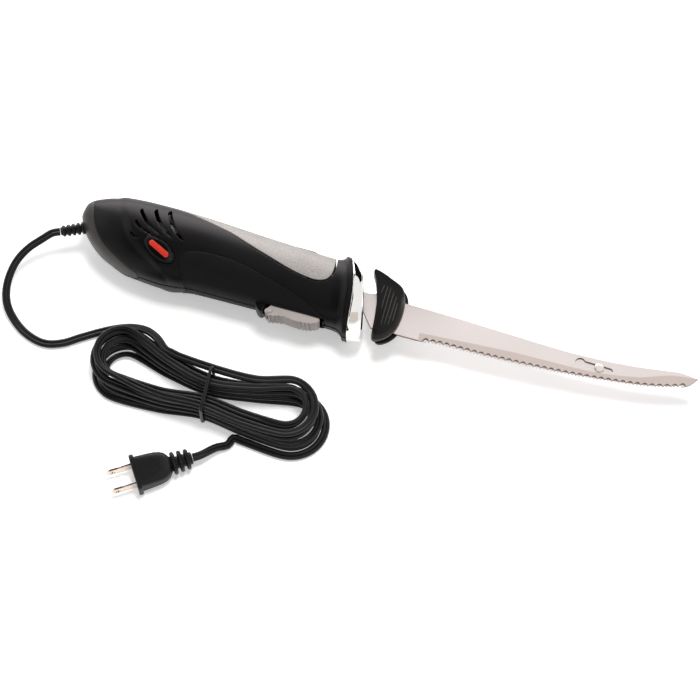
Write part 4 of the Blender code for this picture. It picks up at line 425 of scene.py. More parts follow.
# The flat cord rolls over at the hank's folds and sways a little all along
HANK_RUN = (196, 2283)         # where the hank begins and ends along the cord, mm
folded = smoothstep((np.abs(cord_line[:, 0] - HANK_MIDDLE[0]) - 30.0) / 34.0)
folded *= (cord_run > HANK_RUN[0]) * (cord_run < HANK_RUN[1])
cord_roll = 0.95 * folded * np.sin(0.9 + cord_run / 61.0) + 0.22 * np.sin(cord_run / 37.0)
cord_roll *= smoothstep(cord_run / 40.0) * smoothstep((cord_run[-1] - cord_run) / 30.0)
cord = piece("mains_cord", skin(carried(cord_line, cord_section, cord_roll)), CORD_VINYL,
    ("cord_lead", "cord_hank", "cord_tail"), sharp=40)

# Tie, boot and plug
# A round black tie is drawn about the hank and twisted. The ribbed boot is moulded on the cord
# where it leaves the handle, and the plug is moulded on its other end with three grip rings.

TIE_X, TIE_RADIUS = HANK_MIDDLE[0], 0.8
TIE_THICK, TIE_WIDE = 0.62, 1.05
tie_clear = CORD_RADIUS + TIE_RADIUS + 2 * GAP + 0.1


def rounded_loop(x_low, y_low, x_high, y_high, radius, steps=10):
    """A rectangle with round corners as a closed line of points, anticlockwise."""
    corners = ((x_high - radius, y_high - radius), (x_low + radius, y_high - radius),
        (x_low + radius, y_low + radius), (x_high - radius, y_low + radius))
    return np.vstack([corner + radius * arc(90 * k, 90 * k + 90, steps) for k, corner in enumerate(corners)])


tie_top = HANK_LIFT + 3 * HANK_LAYER + CORD_RADIUS + tie_clear
tie_loop = rounded_loop(HANK_MIDDLE[1] - HANK_WAIST - HANK_WAIST_STEP - tie_clear, TIE_RADIUS + 0.1,
    HANK_MIDDLE[1] + HANK_WAIST + 1.5 * HANK_WAIST_STEP + tie_clear, tie_top, tie_clear)
tie_line = np.column_stack([TIE_X + 1.4 * np.sin(tie_loop[:, 0] / 9.0), tie_loop])
tie_way = unit(np.roll(tie_line, -1, axis=0) - np.roll(tie_line, 1, axis=0))
tie_out = unit(np.cross(tie_way, (1.0, 0.0, 0.0)))
strand_round = circle(14)
tie_rings = (tie_line[:, None] + tie_out[:, None] * TIE_THICK * strand_round[:, :1] + np.cross(tie_way,
    tie_out)[:, None] * TIE_WIDE * strand_round[:, 1:])
knot_turn = np.linspace(0, 5 * math.pi, 60)
knot_lines = [np.stack([TIE_X + 1.2 + 0.75 * np.sin(knot_turn + phase),
    tie_loop[10, 0] + 0.4 + knot_turn * 0.28, 20.6 + 0.75 * np.cos(knot_turn + phase)],
    axis=1) for phase in (0.0, math.pi)]
strands = [skin(carried(line, 0.6 * strand_round)) for line in knot_lines]
tie = piece("cord_twist_tie", joined(skin(tie_rings, True), *strands), CORD_VINYL, ("cord_tie",))

MOULDED_VINYL = finish("moulded_vinyl", (0.005, 0.005, 0.0055), 0.42, specular=0.25, bump=0.10)
BOOT_RIBS, RIB_RADIUS = 5, 4.0
rib_pitch = (BOOT_LENGTH - 1.5) / BOOT_RIBS


def turned(profile, start, way, sides=64):
    """Rings of a profile of distances and radii, turned about a line from a start point."""
    way = unit(np.array(way, float))
    first = unit(np.cross(way, (0.0, 0.0, 1.0) if abs(way[2]) < 0.9 else (1.0, 0.0, 0.0)))
    around = circle(sides) @ np.array([first, np.cross(way, first)])
    profile = np.array(profile, float)[:, None]
    return np.array(start, float) + profile[..., :1] * way + profile[..., 1:] * around


def eased(profile, rounds=2):
    """Cut the corners of an open profile a few times, keeping its two ends."""
    profile = np.array(profile, float)
    for _ in range(rounds):
        near, far = 0.78 * profile[:-1] + 0.22 * profile[1:], 0.22 * profile[:-1] + 0.78 * profile[1:]
        profile = np.vstack([profile[:1], np.stack([near, far], axis=1).reshape(-1, profile.shape[1]),
            profile[-1:]])
    return profile


boot_profile = [(-9.9, 0.4), (-9.9, 4.3), (-8.7, 4.3), (-8.7, 3.3), (1.0, 3.3)]
for rib in range(BOOT_RIBS):
    base, size = 1.5 + rib * rib_pitch, RIB_RADIUS - 0.1 * rib
    boot_profile += [(base - 0.35, 2.7), (base - 0.1, size - 0.35), (base + 0.3, size),
        (base + 0.45 * rib_pitch, size), (base + 0.6 * rib_pitch, size - 0.4), (base + 0.66 * rib_pitch, 2.7),
        (base + 0.9 * rib_pitch, 2.6)]
boot_profile += [(BOOT_LENGTH - 0.2, 2.6), (BOOT_LENGTH, 2.3), (BOOT_LENGTH, 0.3)]
piece("ribbed_boot", skin(turned(eased(boot_profile, 1), (*BOOT_FOOT, MID), boot_axis)), MOULDED_VINYL,
    ("strain_relief",))

# Rows of distance behind the plug's face, half width, half height and squareness
plug_rows = [(0.0, 10.6, 5.8, 6), (0.0, 11.6, 6.6, 6), (0.35, 12.0, 7.0, 6), (2.4, 12.0, 7.0, 6),
    (2.75, 11.7, 6.7, 6), (2.8, 10.6, 6.2, 6), (3.1, 10.35, 6.0, 6), (4.4, 10.3, 6.0, 6), (12.0, 10.0, 5.8, 5),
    (15.5, 9.7, 5.65, 4.6), (18.5, 9.0, 5.4, 4.2), (21.0, 7.7, 5.1, 4), (22.4, 6.0, 4.6, 3.4),
    (23.3, 4.6, 4.1, 3), (24.0, 4.3, 3.9, 3)]
for ring in range(3):
    start, size = 24.2 + 4.2 * ring, 7.2 - 0.35 * ring
    plug_rows += [(start, size - 0.9, size - 1.4, 2.5), (start + 0.4, size - 0.35, size - 0.85, 2.5),
        (start + 1.0, size - 0.25, size - 0.75, 2.5), (start + 1.8, size - 0.35, size - 0.85, 2.5),
        (start + 2.4, size - 0.9, size - 1.4, 2.4), (start + 2.7, 3.9, 3.5, 2.2), (start + 4.0, 3.8, 3.4, 2.2)]
plug_rows += [(36.8, 3.5, 3.1, 2.2), (37.0, 3.2, 2.8, 2.2)]


def squarish(a, power):
    """Cosine and sine of angles, swelled from a circle's towards a square's as the power grows."""
    c, s = np.cos(a), np.sin(a)
    return np.sign(c) * np.abs(c) ** (2 / power), np.sign(s) * np.abs(s) ** (2 / power)


def plug_rings(rows, sides=96):
    """Superellipses square to the plug, each with its own width, height and squareness."""
    along, wide, tall, power = (column[:, None] for column in np.array(rows, float).T)
    c, s = squarish(2 * math.pi * (np.arange(sides) + 0.5) / sides, power)
    return on_plug(along, wide * c, tall * s)


def on_plug(along, sideways, up):
    """Places at distances behind the plug's face, to its side and above its middle."""
    return (plug_face + np.asarray(along)[..., None] * plug_back + np.asarray(sideways)[..., None] * plug_side
        + np.asarray(up)[..., None] * np.array((0.0, 0.0, 1.0)))


# Small dots in a square on the plug's upper face, left out beside the cord's neck
DOT_PROFILE = [(0, 0.5), (0.25, 0.5), (0.5, 0.38), (0.56, 0.14)]
dot_u, dot_v = np.meshgrid(6.6 + 1.42 * np.arange(8), -5.0 + 1.43 * np.arange(8))
keep = ~((np.abs(dot_u - 16.5) < 1.5) & (np.abs(dot_v) > 4.6))
feet = on_plug(dot_u[keep], dot_v[keep], 5.65 - 0.026 * (dot_u[keep] - 4.4))
dots = [skin(turned(DOT_PROFILE, foot, (0, 0, 1), 8)) for foot in feet]
plug = piece("two_pin_plug", joined(skin(plug_rings(plug_rows)), *dots), MOULDED_VINYL, ("plug_body",))


def plate(outline, levels, lay):
    """Rings of a closed outline, drawn in at each level, and laid out in space by a function.

    A level is how far the outline is drawn in and how high it stands. Each corner moves along
    the bisector of its two edges.
    """
    outline = np.array(outline, float)
    before, after = outline - np.roll(outline, 1, axis=0), np.roll(outline, -1, axis=0) - outline
    (x, y), (next_x, next_y) = outline.T, np.roll(outline, -1, axis=0).T
    turn = np.sign(np.sum(x * next_y - next_x * y))
    inward = lambda edge: turn * np.stack([-unit(edge)[:, 1], unit(edge)[:, 0]], axis=1)
    bisector = inward(before) + inward(after)
    bisector *= 2.0 / np.maximum(np.sum(bisector * bisector, axis=1), 0.8)[:, None]
    return np.array([lay(outline + draw * bisector, height) for draw, height in levels])


def soft_levels(low, high, edge, steps=4):
    """Levels of a plate from low to high whose two rims are rounded by an edge radius."""
    a = np.radians(np.linspace(0, 90, steps))
    draw, rise = edge * (1 - np.sin(a)), edge * (1 - np.cos(a))
    return [(d, low + r) for d, r in zip(draw, rise)] + [(d, high - r) for d, r in zip(draw[::-1], rise[::-1])]


PRONG_NICKEL = finish("prong_nickel", (0.74, 0.65, 0.58), 0.24, metallic=1.0, grain=0.4, grain_size=0.3,
    bump=0.04, tone=0.06)
PRONG_LENGTH, PRONG_HALF_HEIGHT, PRONG_ROOT, PRONG_HALF_THICK = 16.0, 3.175, 7.4, 0.75
PRONG_SPACING, PRONG_TIP, TIP_ANGLE, PRONG_EDGE = 12.7, 3.6, 64, 0.25
EYE_X, EYE_RADIUS = -12.0, 1.6
tip = arc(TIP_ANGLE, -TIP_ANGLE, 9) * (-PRONG_TIP, PRONG_HALF_HEIGHT / math.sin(math.radians(TIP_ANGLE)))
prong_side = np.vstack([[(PRONG_ROOT, -PRONG_HALF_HEIGHT), (PRONG_ROOT, PRONG_HALF_HEIGHT)],
    tip + (PRONG_TIP - PRONG_LENGTH, 0)])
# How far each spoke from the eye's middle reaches to the prong's outline
spokes = circle(40)
wedge = lambda a, b: a[..., 0] * b[..., 1] - a[..., 1] * b[..., 0]
start, step = prong_side - (EYE_X, 0), np.roll(prong_side, -1, axis=0) - prong_side
cross = wedge(spokes[:, None], step)
cross = np.where(cross == 0, 1e-9, cross)
t, w = wedge(start, step) / cross, wedge(start, spokes[:, None]) / cross
reach = np.where((t > 0) & (w >= -1e-6) & (w <= 1 + 1e-6), t, 1e9).min(axis=1)[:, None]
prong_rows = ((EYE_RADIUS, -PRONG_HALF_THICK), (EYE_RADIUS, PRONG_HALF_THICK),
    (reach - PRONG_EDGE, PRONG_HALF_THICK), (reach, PRONG_HALF_THICK - PRONG_EDGE),
    (reach, PRONG_EDGE - PRONG_HALF_THICK), (reach - PRONG_EDGE, -PRONG_HALF_THICK))
for number, side in ((1, -1), (2, 1)):
    flats = [((EYE_X, 0) + spokes * far, side * PRONG_SPACING / 2 + height) for far, height in prong_rows]
    rings = np.array([on_plug(flat[:, 0], sideways, flat[:, 1]) for flat, sideways in flats])
    piece(f"flat_prong_{number}", skin(rings, True), PRONG_NICKEL, (f"plug_prong_{number}",),
        sharp=30)

# Handle shells
# Two halves moulded in black glass-filled nylon, with a fine satin grain, screwed together along
# the mid plane. They are thin shells, cut out for the grips, the panel, the badges and the vents.

WALL, SKIN = 2.6, 1.3
HULL_POWER = 2.3
COLLAR_LEAN = math.tan(math.radians(14.7))
LEAN_FROM, FLARE_X, LIP_BOW, LIP_TOP = LIP_X - 47.0, LIP_X - 11.2, 2.9, 25.0
# x at the axis, top, bottom and half width
HULL_ROWS = np.array(((REAR_X, 6.5, 0.6, 4.0), (-178.4, 11.1, -4.2, 10.4), (-172.0, 16.4, -12.6, 16.1),
    (-158.0, 20.8, -21.8, 20.5), (-138.0, 22.8, -27.5, 22.6), (-118.0, 23.3, -28.6, 23.0),
    (-97.0, 23.1, -24.3, 22.0), (-70.0, 22.5, -23.5, 20.0), (-43.0, 22.0, -22.7, 18.5),
    (-14.0, 21.6, -21.9, 18.0), (-10.0, 22.0, -22.2, 18.5), (-7.5, 22.9, -23.2, 19.8),
    (-5.8, 24.0, -24.7, 21.2), (-5.0, 25.0, -26.2, 22.6), (LIP_X, 25.0, -26.2, 22.6)))


def monotone(rows, column, at):
    """A cubic through the rows' knots that never overshoots them."""
    knots, values = rows[:, 0], rows[:, column]
    width = np.diff(knots)
    slope = np.diff(values) / width
    near, far = 2 * width[1:] + width[:-1], width[1:] + 2 * width[:-1]
    same = slope[:-1] * slope[1:] > 0
    safe = np.where(slope == 0, 1.0, slope)
    tangent = np.zeros(len(knots))
    tangent[1:-1] = np.where(same, (near + far) / (near / safe[:-1] + far / safe[1:]), 0.0)
    tangent[0], tangent[-1] = slope[0], slope[-1]
    at = np.clip(at, knots[0], knots[-1])
    cell = np.clip(np.searchsorted(knots, at) - 1, 0, len(width) - 1)
    t = (at - knots[cell]) / width[cell]
    return ((2 * t**3 - 3 * t**2 + 1) * values[cell] + (t**3 - 2 * t**2 + t) * width[cell] * tangent[cell]
        + (3 * t**2 - 2 * t**3) * values[cell + 1] + (t**3 - t**2) * width[cell] * tangent[cell + 1])


def smooth_outline(points, closed=True, spacing=1.0):
    """A smooth line through outline points, as a dense array."""
    points = np.array(points, float)
    flat = np.column_stack([points, np.zeros(len(points))])
    if closed:
        flat = np.vstack([flat[-3:], flat, flat[:3]])
    line = smooth_route(flat, spacing, 9)[:, :2]
    if closed:
        start = np.argmin(np.linalg.norm(line - points[0], axis=1)[:len(line) // 2])
        stop = len(line) - 1 - np.argmin(np.linalg.norm(line[::-1] - points[0], axis=1)[:len(line) // 2])
        line = line[start:stop]
    return line


def inside_of(outline, x, y, closed=True):
    """Signed distance in mm from an outline, positive inside it, or to its left if it is open."""
    a, b = (outline, np.roll(outline, -1, axis=0)) if closed else (outline[:-1], outline[1:])
    flat = np.stack([x.ravel(), y.ravel()], axis=1)
    best, sign = np.full(len(flat), 1e9), np.ones(len(flat))
    step = b - a
    length = np.maximum(np.sum(step * step, axis=1), 1e-12)
    for first in range(0, len(flat), 6000):
        chunk = slice(first, first + 6000)
        p = flat[chunk, None]
        t = np.clip(np.sum((p - a) * step, axis=2) / length, 0, 1)
        gap = p - a - t[..., None] * step
        far = np.sum(gap * gap, axis=2)
        nearest = np.argmin(far, axis=1)
        rows = np.arange(len(nearest))
        best[chunk] = np.sqrt(far[rows, nearest])
        if closed:
            ahead = (a[:, 1] > p[..., 1]) != (b[:, 1] > p[..., 1])
            slope = np.where(step[:, 1] == 0, 1e-9, step[:, 1])
            hits = ahead & (p[..., 0] < a[:, 0] + (p[..., 1] - a[:, 1]) / slope * step[:, 0])
            sign[chunk] = np.where(hits.sum(axis=1) % 2 == 1, 1.0, -1.0)
        else:
            s, g = step[nearest], (p - a)[rows, nearest]
            sign[chunk] = np.where(s[:, 0] * g[:, 1] - s[:, 1] * g[:, 0] > 0, 1.0, -1.0)
    return (best * sign).reshape(x.shape)


def lean(x):
    """How far the section at x leans back, as a slope, growing along the neck."""
    return COLLAR_LEAN * smoothstep((x - LEAN_FROM) / (FLARE_X - LEAN_FROM))


def bow(x):
    """How far the sides at x stand ahead of the spine and belly, growing over the flare."""
    return LIP_BOW * smoothstep((x - LIP_X + 12.0) / 9.0)


SEAM_LINE = smooth_outline([(-178.4, 60), (-177.4, 40), (-176.4, 18), (-175.2, 12), (-173.6, 6), (-171.0, -2),
    (-168.0, -8), (-163.6, -13.8), (-157.6, -18.6), (-149.6, -22.8), (-139.6, -26.6), (-131.6, -28.6),
    (-124.6, -40.0), (-121, -60)], closed=False)
# The step in the skin behind the vents: its upper edge, and its foot where the lower level begins
STEP_TOP = smooth_outline([(-164, 50), (-159.5, 24), (-151.0, 8.5), (-145.0, -2.4), (-141.0, -7.5),
    (-135.0, -13.0), (-128.2, -18.2), (-120.2, -22.6), (-112.2, -24.9), (-104.6, -26.3), (-95, -34),
    (-90, -50)], closed=False)
STEP_FOOT = smooth_outline([(-168.5, 50), (-164.5, 24), (-155.4, 7.0), (-152.2, 0.3), (-148.6, -6.0),
    (-144.6, -11.6), (-139.0, -16.4), (-133.0, -19.8), (-125.4, -23.1), (-118.2, -25.9), (-111.8, -28.2),
    (-103, -36), (-99, -50)], closed=False)


def hull(x, a, inset=0.0):
    """Points of the handle's skin at axis positions x and angles a from the spine round by the right.

    Each section is a superellipse whose top, bottom and half width run smoothly along the
    handle, sheared back by the section's lean and bowed forward at the lip's sides.
    """
    top, bottom, half = (monotone(HULL_ROWS, k, x) for k in (1, 2, 3))
    c, s = squarish(a, HULL_POWER)
    y = (top + bottom) / 2 + ((top - bottom) / 2 - inset) * c
    return np.stack([x + bow(x) * (1 - (y / LIP_TOP) ** 2) - lean(x) * y, y, MID + (half - inset) * s], axis=-1)


def outward(points):
    """Unit normals of a grid of points, turned away from the handle's axis."""
    normal = unit(np.cross(np.gradient(points, axis=0), np.gradient(points, axis=1)) + 1e-12)
    side = np.sign(np.sum(normal * (points * (0, 1, 1) - (0, 0, MID)), axis=-1, keepdims=True))
    return normal * np.where(side == 0, 1.0, side)


def along_skin(field, points, normals):
    """Turn a distance seen from the side into one along the skin, by its slope there."""
    du, dv = np.gradient(points, axis=0), np.gradient(points, axis=1)
    fu, fv = np.gradient(field, axis=0), np.gradient(field, axis=1)
    e, f, g = np.sum(du * du, -1), np.sum(du * dv, -1), np.sum(dv * dv, -1)
    area = np.maximum(e * g - f * f, 1e-9)
    slope = np.sqrt(np.maximum((g * fu * fu - 2 * f * fu * fv + e * fv * fv) / area, 1e-6))
    return field / np.clip(slope, 0.25, 1.5)


NEAR_CUT, SMALLEST_FACE = 0.35, 1e-7


def trimmed(outer, inner, inside, edge):
    """A sheet cut along the line where `inside` is nought, with round rims, closed as a solid.

    outer and inner are R by C by 3 grids of the two skins. Points near the line are moved on
    to it, the triangles that cross it are clipped there, a rim of three steps is turned over
    the edge radius and carried down to the inner skin.
    """
    rows, columns = inside.shape
    p, q, g = outer.reshape(-1, 3).copy(), inner.reshape(-1, 3).copy(), inside.ravel().copy()

    def crossed(faces):
        """The faces' sides that the line cuts, as their two ends, and where it cuts them."""
        sides = np.unique(np.sort(faces[:, [0, 1, 1, 2, 2, 0]].reshape(-1, 2), axis=1), axis=0)
        a, b = sides[g[sides[:, 0]] * g[sides[:, 1]] < 0].T
        return a, b, g[a] / (g[a] - g[b])

    quads = grid_quads(rows, columns)
    flip = ((quads[:, 0] // columns + quads[:, 0] % columns) % 2 == 0)[:, None]
    triangles = np.concatenate([np.where(flip, quads[:, [0, 1, 2]], quads[:, [0, 1, 3]]),
        np.where(flip, quads[:, [0, 2, 3]], quads[:, [1, 2, 3]])])
    a, b, t = crossed(triangles)
    near = np.concatenate([np.stack([a, b, t], axis=1), np.stack([b, a, 1 - t], axis=1)])
    near = near[near[:, 2] < NEAR_CUT]
    near = near[np.argsort(near[:, 2])]
    _, first = np.unique(near[:, 0], return_index=True)
    here, there, share = near[first, 0].astype(int), near[first, 1].astype(int), near[first, 2:3]
    p[here], q[here] = p[here] + (p[there] - p[here]) * share, q[here] + (q[there] - q[here]) * share
    g[here] = 0.0
    sign = np.sign(g[triangles]).astype(int)
    low, high = sign.min(axis=1), sign.max(axis=1)
    kept = [triangles[(low >= 0) & (high > 0)]]
    mixed = triangles[(low < 0) & (high > 0)]
    a, b, t = crossed(mixed)
    base, code = len(p), a * len(p) + b
    cut = lambda u, v: base + np.searchsorted(code, np.minimum(u, v) * base + np.maximum(u, v))
    p, q = (np.vstack([grid, grid[a] + (grid[b] - grid[a]) * t[:, None]]) for grid in (p, q))
    mixed_sign = np.sign(g[mixed]).astype(int)
    for turn in range(3):
        m, s = np.roll(mixed, -turn, axis=1), np.roll(mixed_sign, -turn, axis=1)
        signs = lambda *wanted: m[(s == wanted).all(axis=1)].T
        a, b, c = signs(1, -1, -1)
        kept.append(np.stack([a, cut(a, b), cut(a, c)], axis=1))
        a, b, c = signs(-1, 1, 1)
        kept.append(np.stack([cut(a, b), b, c], axis=1))
        kept.append(np.stack([cut(a, b), c, cut(a, c)], axis=1))
        a, b, c = signs(1, 0, -1)
        kept.append(np.stack([a, b, cut(a, c)], axis=1))
        a, b, c = signs(1, -1, 0)
        kept.append(np.stack([a, cut(a, b), c], axis=1))
    faces = np.concatenate(kept)
    flat = np.cross(p[faces[:, 1]] - p[faces[:, 0]], p[faces[:, 2]] - p[faces[:, 0]])
    large = np.linalg.norm(flat, axis=1) > SMALLEST_FACE
    used, faces = np.unique(faces[large], return_inverse=True)
    faces, p, q = faces.reshape(-1, 3), p[used], q[used]
    n = len(p)
    normal = np.zeros((n, 3))
    for k in range(3):
        np.add.at(normal, faces[:, k], flat[large])
    normal = unit(normal)
    half = faces[:, [0, 1, 1, 2, 2, 0]].reshape(-1, 2)
    rim = half[~np.isin(half[:, 0] * n + half[:, 1], half[:, 1] * n + half[:, 0])]
    push = np.zeros((n, 3))
    along = p[rim[:, 1]] - p[rim[:, 0]]
    push_edge = unit(np.cross(along, normal[rim[:, 0]] + normal[rim[:, 1]]))
    for k in range(2):
        np.add.at(push, rim[:, k], push_edge)
    on_rim = np.unique(rim)
    push[on_rim] = unit(push[on_rim])
    slot_of = np.zeros(n, int)
    slot_of[on_rim] = np.arange(len(on_rim))
    steps = [p[on_rim] + push[on_rim] * edge * math.sin(th) - normal[on_rim] * edge * (1 - math.cos(th))
        for th in np.radians((30, 60, 90))]
    bottom = q.copy()
    bottom[on_rim] = q[on_rim] + push[on_rim] * edge
    points = np.vstack([p, *steps, bottom])
    count = len(on_rim)
    levels = [on_rim] + [n + k * count + np.arange(count) for k in range(3)] + [n + 3 * count + on_rim]
    out = [faces, faces[:, ::-1] + n + 3 * count]
    i, j = slot_of[rim[:, 0]], slot_of[rim[:, 1]]
    walls = [np.stack([high[j], high[i], low[i], low[j]], axis=1) for high, low in zip(levels, levels[1:])]
    return points, [np.concatenate(out), np.concatenate(walls)]


# Axis positions of the sections, closer together at the round rear and at the lip
stations = np.concatenate([REAR_X + 9.0 * (np.linspace(0, 1, 22) ** 1.7),
    np.arange(REAR_X + 9.8, LIP_X - 12, 0.8), np.arange(LIP_X - 11.6, LIP_X - 0.9, 0.35),
    LIP_X - np.array((0.75, 0.5, 0.25, 0.1, 0.0))])
half_angles = np.linspace(-0.035, math.pi + 0.035, 112)
RIM, SEAM_GAP, STEP_DEPTH = 0.30, 0.08, 1.15
PANEL_LINE = smooth_outline([(-135, 48), (-134, 40), (-131, 24.0), (-122.6, 21.0), (-113.6, 18.9),
    (-104.6, 16.6), (-95, 14.4), (-82.8, 11.7), (-68.2, 7.1), (-53.9, 3.2), (-40.1, -0.4), (-29.4, -2.1),
    (-22.5, -2.2), (-17.4, -0.2), (-14.9, 3.4), (-14.4, 8.0), (-15.4, 15.2), (-17.8, 24), (-21, 40), (-22, 48)])
GRIP_LINE = smooth_outline([(-107.9, -16.8), (-107.0, -13.4), (-104.2, -10.6), (-95.4, -7.6), (-85, -6.6),
    (-75.6, -6.5), (-65, -7.6), (-55.8, -9.4), (-45, -11.4), (-35.7, -13.5), (-21.9, -17.2), (-13.0, -20.4),
    (-8.5, -24.0), (-7.2, -30), (-7.0, -40), (-50, -44), (-93, -40), (-98.0, -27.5), (-103.6, -24.0)])
BADGE_MIDDLE, BADGE_HALF, BADGE_TILT = (-121.8, -14.0), (11.5, 5.3), math.radians(-22.4)
# Vents: head x and y, tip x and y, width at the head, and bow of the leading edge
VENTS = ((-141.6, 10.2, -122.6, -5.2, 4.0, 1.9), (-132.7, 13.2, -116.0, -4.9, 4.2, 1.9),
    (-124.0, 15.4, -108.6, -4.4, 4.4, 1.9), (-141.9, 0.6, -129.6, -5.6, 3.4, 1.2),
    (-142.3, -7.6, -136.0, -10.2, 3.0, 0.7))


def vent_line(head_x, head_y, tip_x, tip_y, width, bow):
    """A gill: a bowed front edge, and a rear edge that swells to a broad round head."""
    head, tip = np.array((head_x, head_y)), np.array((tip_x, tip_y))
    way = tip - head
    side = np.array((way[1], -way[0])) / np.linalg.norm(way)
    t = np.linspace(0, 1, 14)[:, None]
    front = head + way * t + side * bow * 4 * t * (1 - t)
    t = np.linspace(0.96, 0.06, 14)[:, None]
    rear = head + way * t + side * (bow * 4 * t * (1 - t) + width * np.sqrt(1 - t) * (0.55 + 0.45 * t))
    return smooth_outline(np.vstack([front, rear]), spacing=0.25)


def oval_inside(x, y, middle, half, tilt):
    """Nearly the signed distance from a tilted ellipse, positive inside."""
    u = (x - middle[0]) * math.cos(tilt) + (y - middle[1]) * math.sin(tilt)
    v = -(x - middle[0]) * math.sin(tilt) + (y - middle[1]) * math.cos(tilt)
    k = np.sqrt((u / half[0]) ** 2 + (v / half[1]) ** 2)
    return -k * (k - 1) / np.sqrt(np.maximum((u / half[0] ** 2) ** 2 + (v / half[1] ** 2) ** 2, 1e-9))


def box_inside(u, v, low_u, high_u, low_v, high_v, radius=0.5):
    """Signed distance from a rectangle with round corners, positive inside."""
    du = np.abs(u - (low_u + high_u) / 2) - (high_u - low_u) / 2 + radius
    dv = np.abs(v - (low_v + high_v) / 2) - (high_v - low_v) / 2 + radius
    return radius - np.hypot(np.maximum(du, 0), np.maximum(dv, 0)) - np.minimum(np.maximum(du, dv), 0)


TRIGGER_HALF, TRIGGER_WINDOW, TRIGGER_ROOM = 5.6, (-49.1, -12.4), 0.6
BUTTON_X, BUTTON_HALF, BUTTON_PROUD = -37.5, (8.5, 4.5), 1.3
BUTTON_TOP = float(monotone(HULL_ROWS, 1, np.array(BUTTON_X))) + BUTTON_PROUD
SCREWS = ((-97.5, 10.8), (-84.0, -13.0), (-11.0, 14.0), (-154.5, 14.5))
SCREW_SINK = 3.0
OUT_OF_REACH = 50.0            # a distance that stands for far away from an outline


def fields(points):
    """Signed distances along the skin from every outline on the handle, by name."""
    normals = outward(points)
    x, y, z = points[..., 0], points[..., 1], points[..., 2]
    on_skin = lambda field: along_skin(field, points, normals)
    out = {"normal": normals, "right": z - MID, "left": MID - z,
        "front": on_skin(inside_of(SEAM_LINE, x, y, False)), "panel": on_skin(inside_of(PANEL_LINE, x, y)),
        "grip": on_skin(inside_of(GRIP_LINE, x, y))}
    out["badge"] = on_skin(oval_inside(x, y, BADGE_MIDDLE, BADGE_HALF, BADGE_TILT))
    vents = np.full(x.shape, -OUT_OF_REACH)
    near = (x > -150) & (x < -100) & (y > -16) & (y < 22)
    for vent in VENTS:
        vents[near] = np.maximum(vents[near], inside_of(vent_line(*vent), x[near], y[near]))
    out["vents"] = np.where(vents > -8, on_skin(vents), vents)
    half = TRIGGER_HALF + TRIGGER_ROOM
    trigger = box_inside(x, z, *TRIGGER_WINDOW, MID - half, MID + half, 0.8)
    out["trigger"] = np.where(y < -8, trigger, -OUT_OF_REACH)
    leaning = x + lean(np.array(BUTTON_X)) * (y - BUTTON_TOP)
    half_x, half_z = BUTTON_HALF[0] + GAP, BUTTON_HALF[1] + GAP
    button = box_inside(leaning, z, BUTTON_X - half_x, BUTTON_X + half_x, MID - half_z, MID + half_z, 3.3)
    out["button"] = np.where(y > 8, button, -OUT_OF_REACH)
    return out


def shaped(points, field):
    """Lower the skin behind the step by a flat slope between its two lines, easing out at the rear."""
    x, y = points[..., 0], points[..., 1]
    behind, ahead = -inside_of(STEP_TOP, x, y, False), inside_of(STEP_FOOT, x, y, False)
    ramp = np.where(behind <= 0, 0.0, np.where(ahead <= 0, 1.0, behind / np.maximum(behind + ahead, 0.3)))
    depth = STEP_DEPTH * ramp * smoothstep((x - REAR_X) / 9.0)
    return points - field["normal"] * depth[..., None]


HANDLE_BLACK = finish("handle_nylon", (0.0021, 0.0020, 0.0022), 0.38, specular=0.14, grain=0.5, grain_size=0.35,
    bump=0.08, rough_spread=0.03)
CAP_GREY = finish("cap_grey_nylon", (0.032, 0.027, 0.025), 0.42, specular=0.26, grain=0.5, grain_size=0.4,
    bump=0.10)
SOFT_GRIP = finish("soft_grip_rubber", (0.0034, 0.0034, 0.0036), 0.56, specular=0.16, grain=0.8, grain_size=0.9,
    bump=0.8, rough_spread=0.10, tone=0.35)

SPINE_TOP = 24.9               # the solids' highest line
ROOM_FOR_HALVES = (-300, -80, 0), (300, SPINE_TOP, 2 * MID)
MID_GAP, PANEL_GAP, BADGE_GAP = 0.04, 0.8, 0.3

u, v = np.meshgrid(stations, half_angles, indexing="ij")
shell = {}
for side_name, turn in SIDES:
    raw = hull(u, turn * v)
    field = fields(raw)
    shell[side_name] = raw, field
    skin_points = np.clip(shaped(raw, field), *ROOM_FOR_HALVES)
    inside = np.minimum.reduce([field[side_name] - MID_GAP, field["front"] - SEAM_GAP,
        -field["panel"] - PANEL_GAP, -field["grip"] - SEAM_GAP, -field["badge"] - BADGE_GAP, -field["vents"],
        -field["trigger"], -field["button"]]) - RIM
    if side_name == "left":
        for x, y in SCREWS:
            sink = np.hypot(raw[..., 0] - x, raw[..., 1] - y) - SCREW_SINK
            inside = np.minimum(inside, np.where(np.abs(sink) < 4, sink - RIM, OUT_OF_REACH))
    piece(f"{side_name}_handle_shell", trimmed(skin_points, skin_points - field["normal"] * WALL, inside, RIM),
        HANDLE_BLACK, (f"{side_name}_housing",), sharp=38)

# Soft grips
# Rubber pads moulded over the lower half of each shell, just proud of it. They wrap under the
# belly, are cut out round the trigger and carry a fine leathery grain.

GRIP_PROUD, PANEL_PROUD = 0.22, 0.12

for side_name, (raw, field) in shell.items():
    inside = np.minimum.reduce([field[side_name] - MID_GAP, field["grip"], -field["trigger"]]) - RIM
    pad = np.clip(raw + GRIP_PROUD * field["normal"], *ROOM_FOR_HALVES)
    piece(f"{side_name}_grip_pad", trimmed(pad, raw - field["normal"] * SKIN, inside, RIM), SOFT_GRIP,
        (f"{side_name}_grip",), sharp=38)

# Rear cap and top panel
# The cap is a grey moulded cup closing the rear, with the boot standing in it. The panel is a
# thin cover painted in metal flake silver, let in over the spine round the release button.

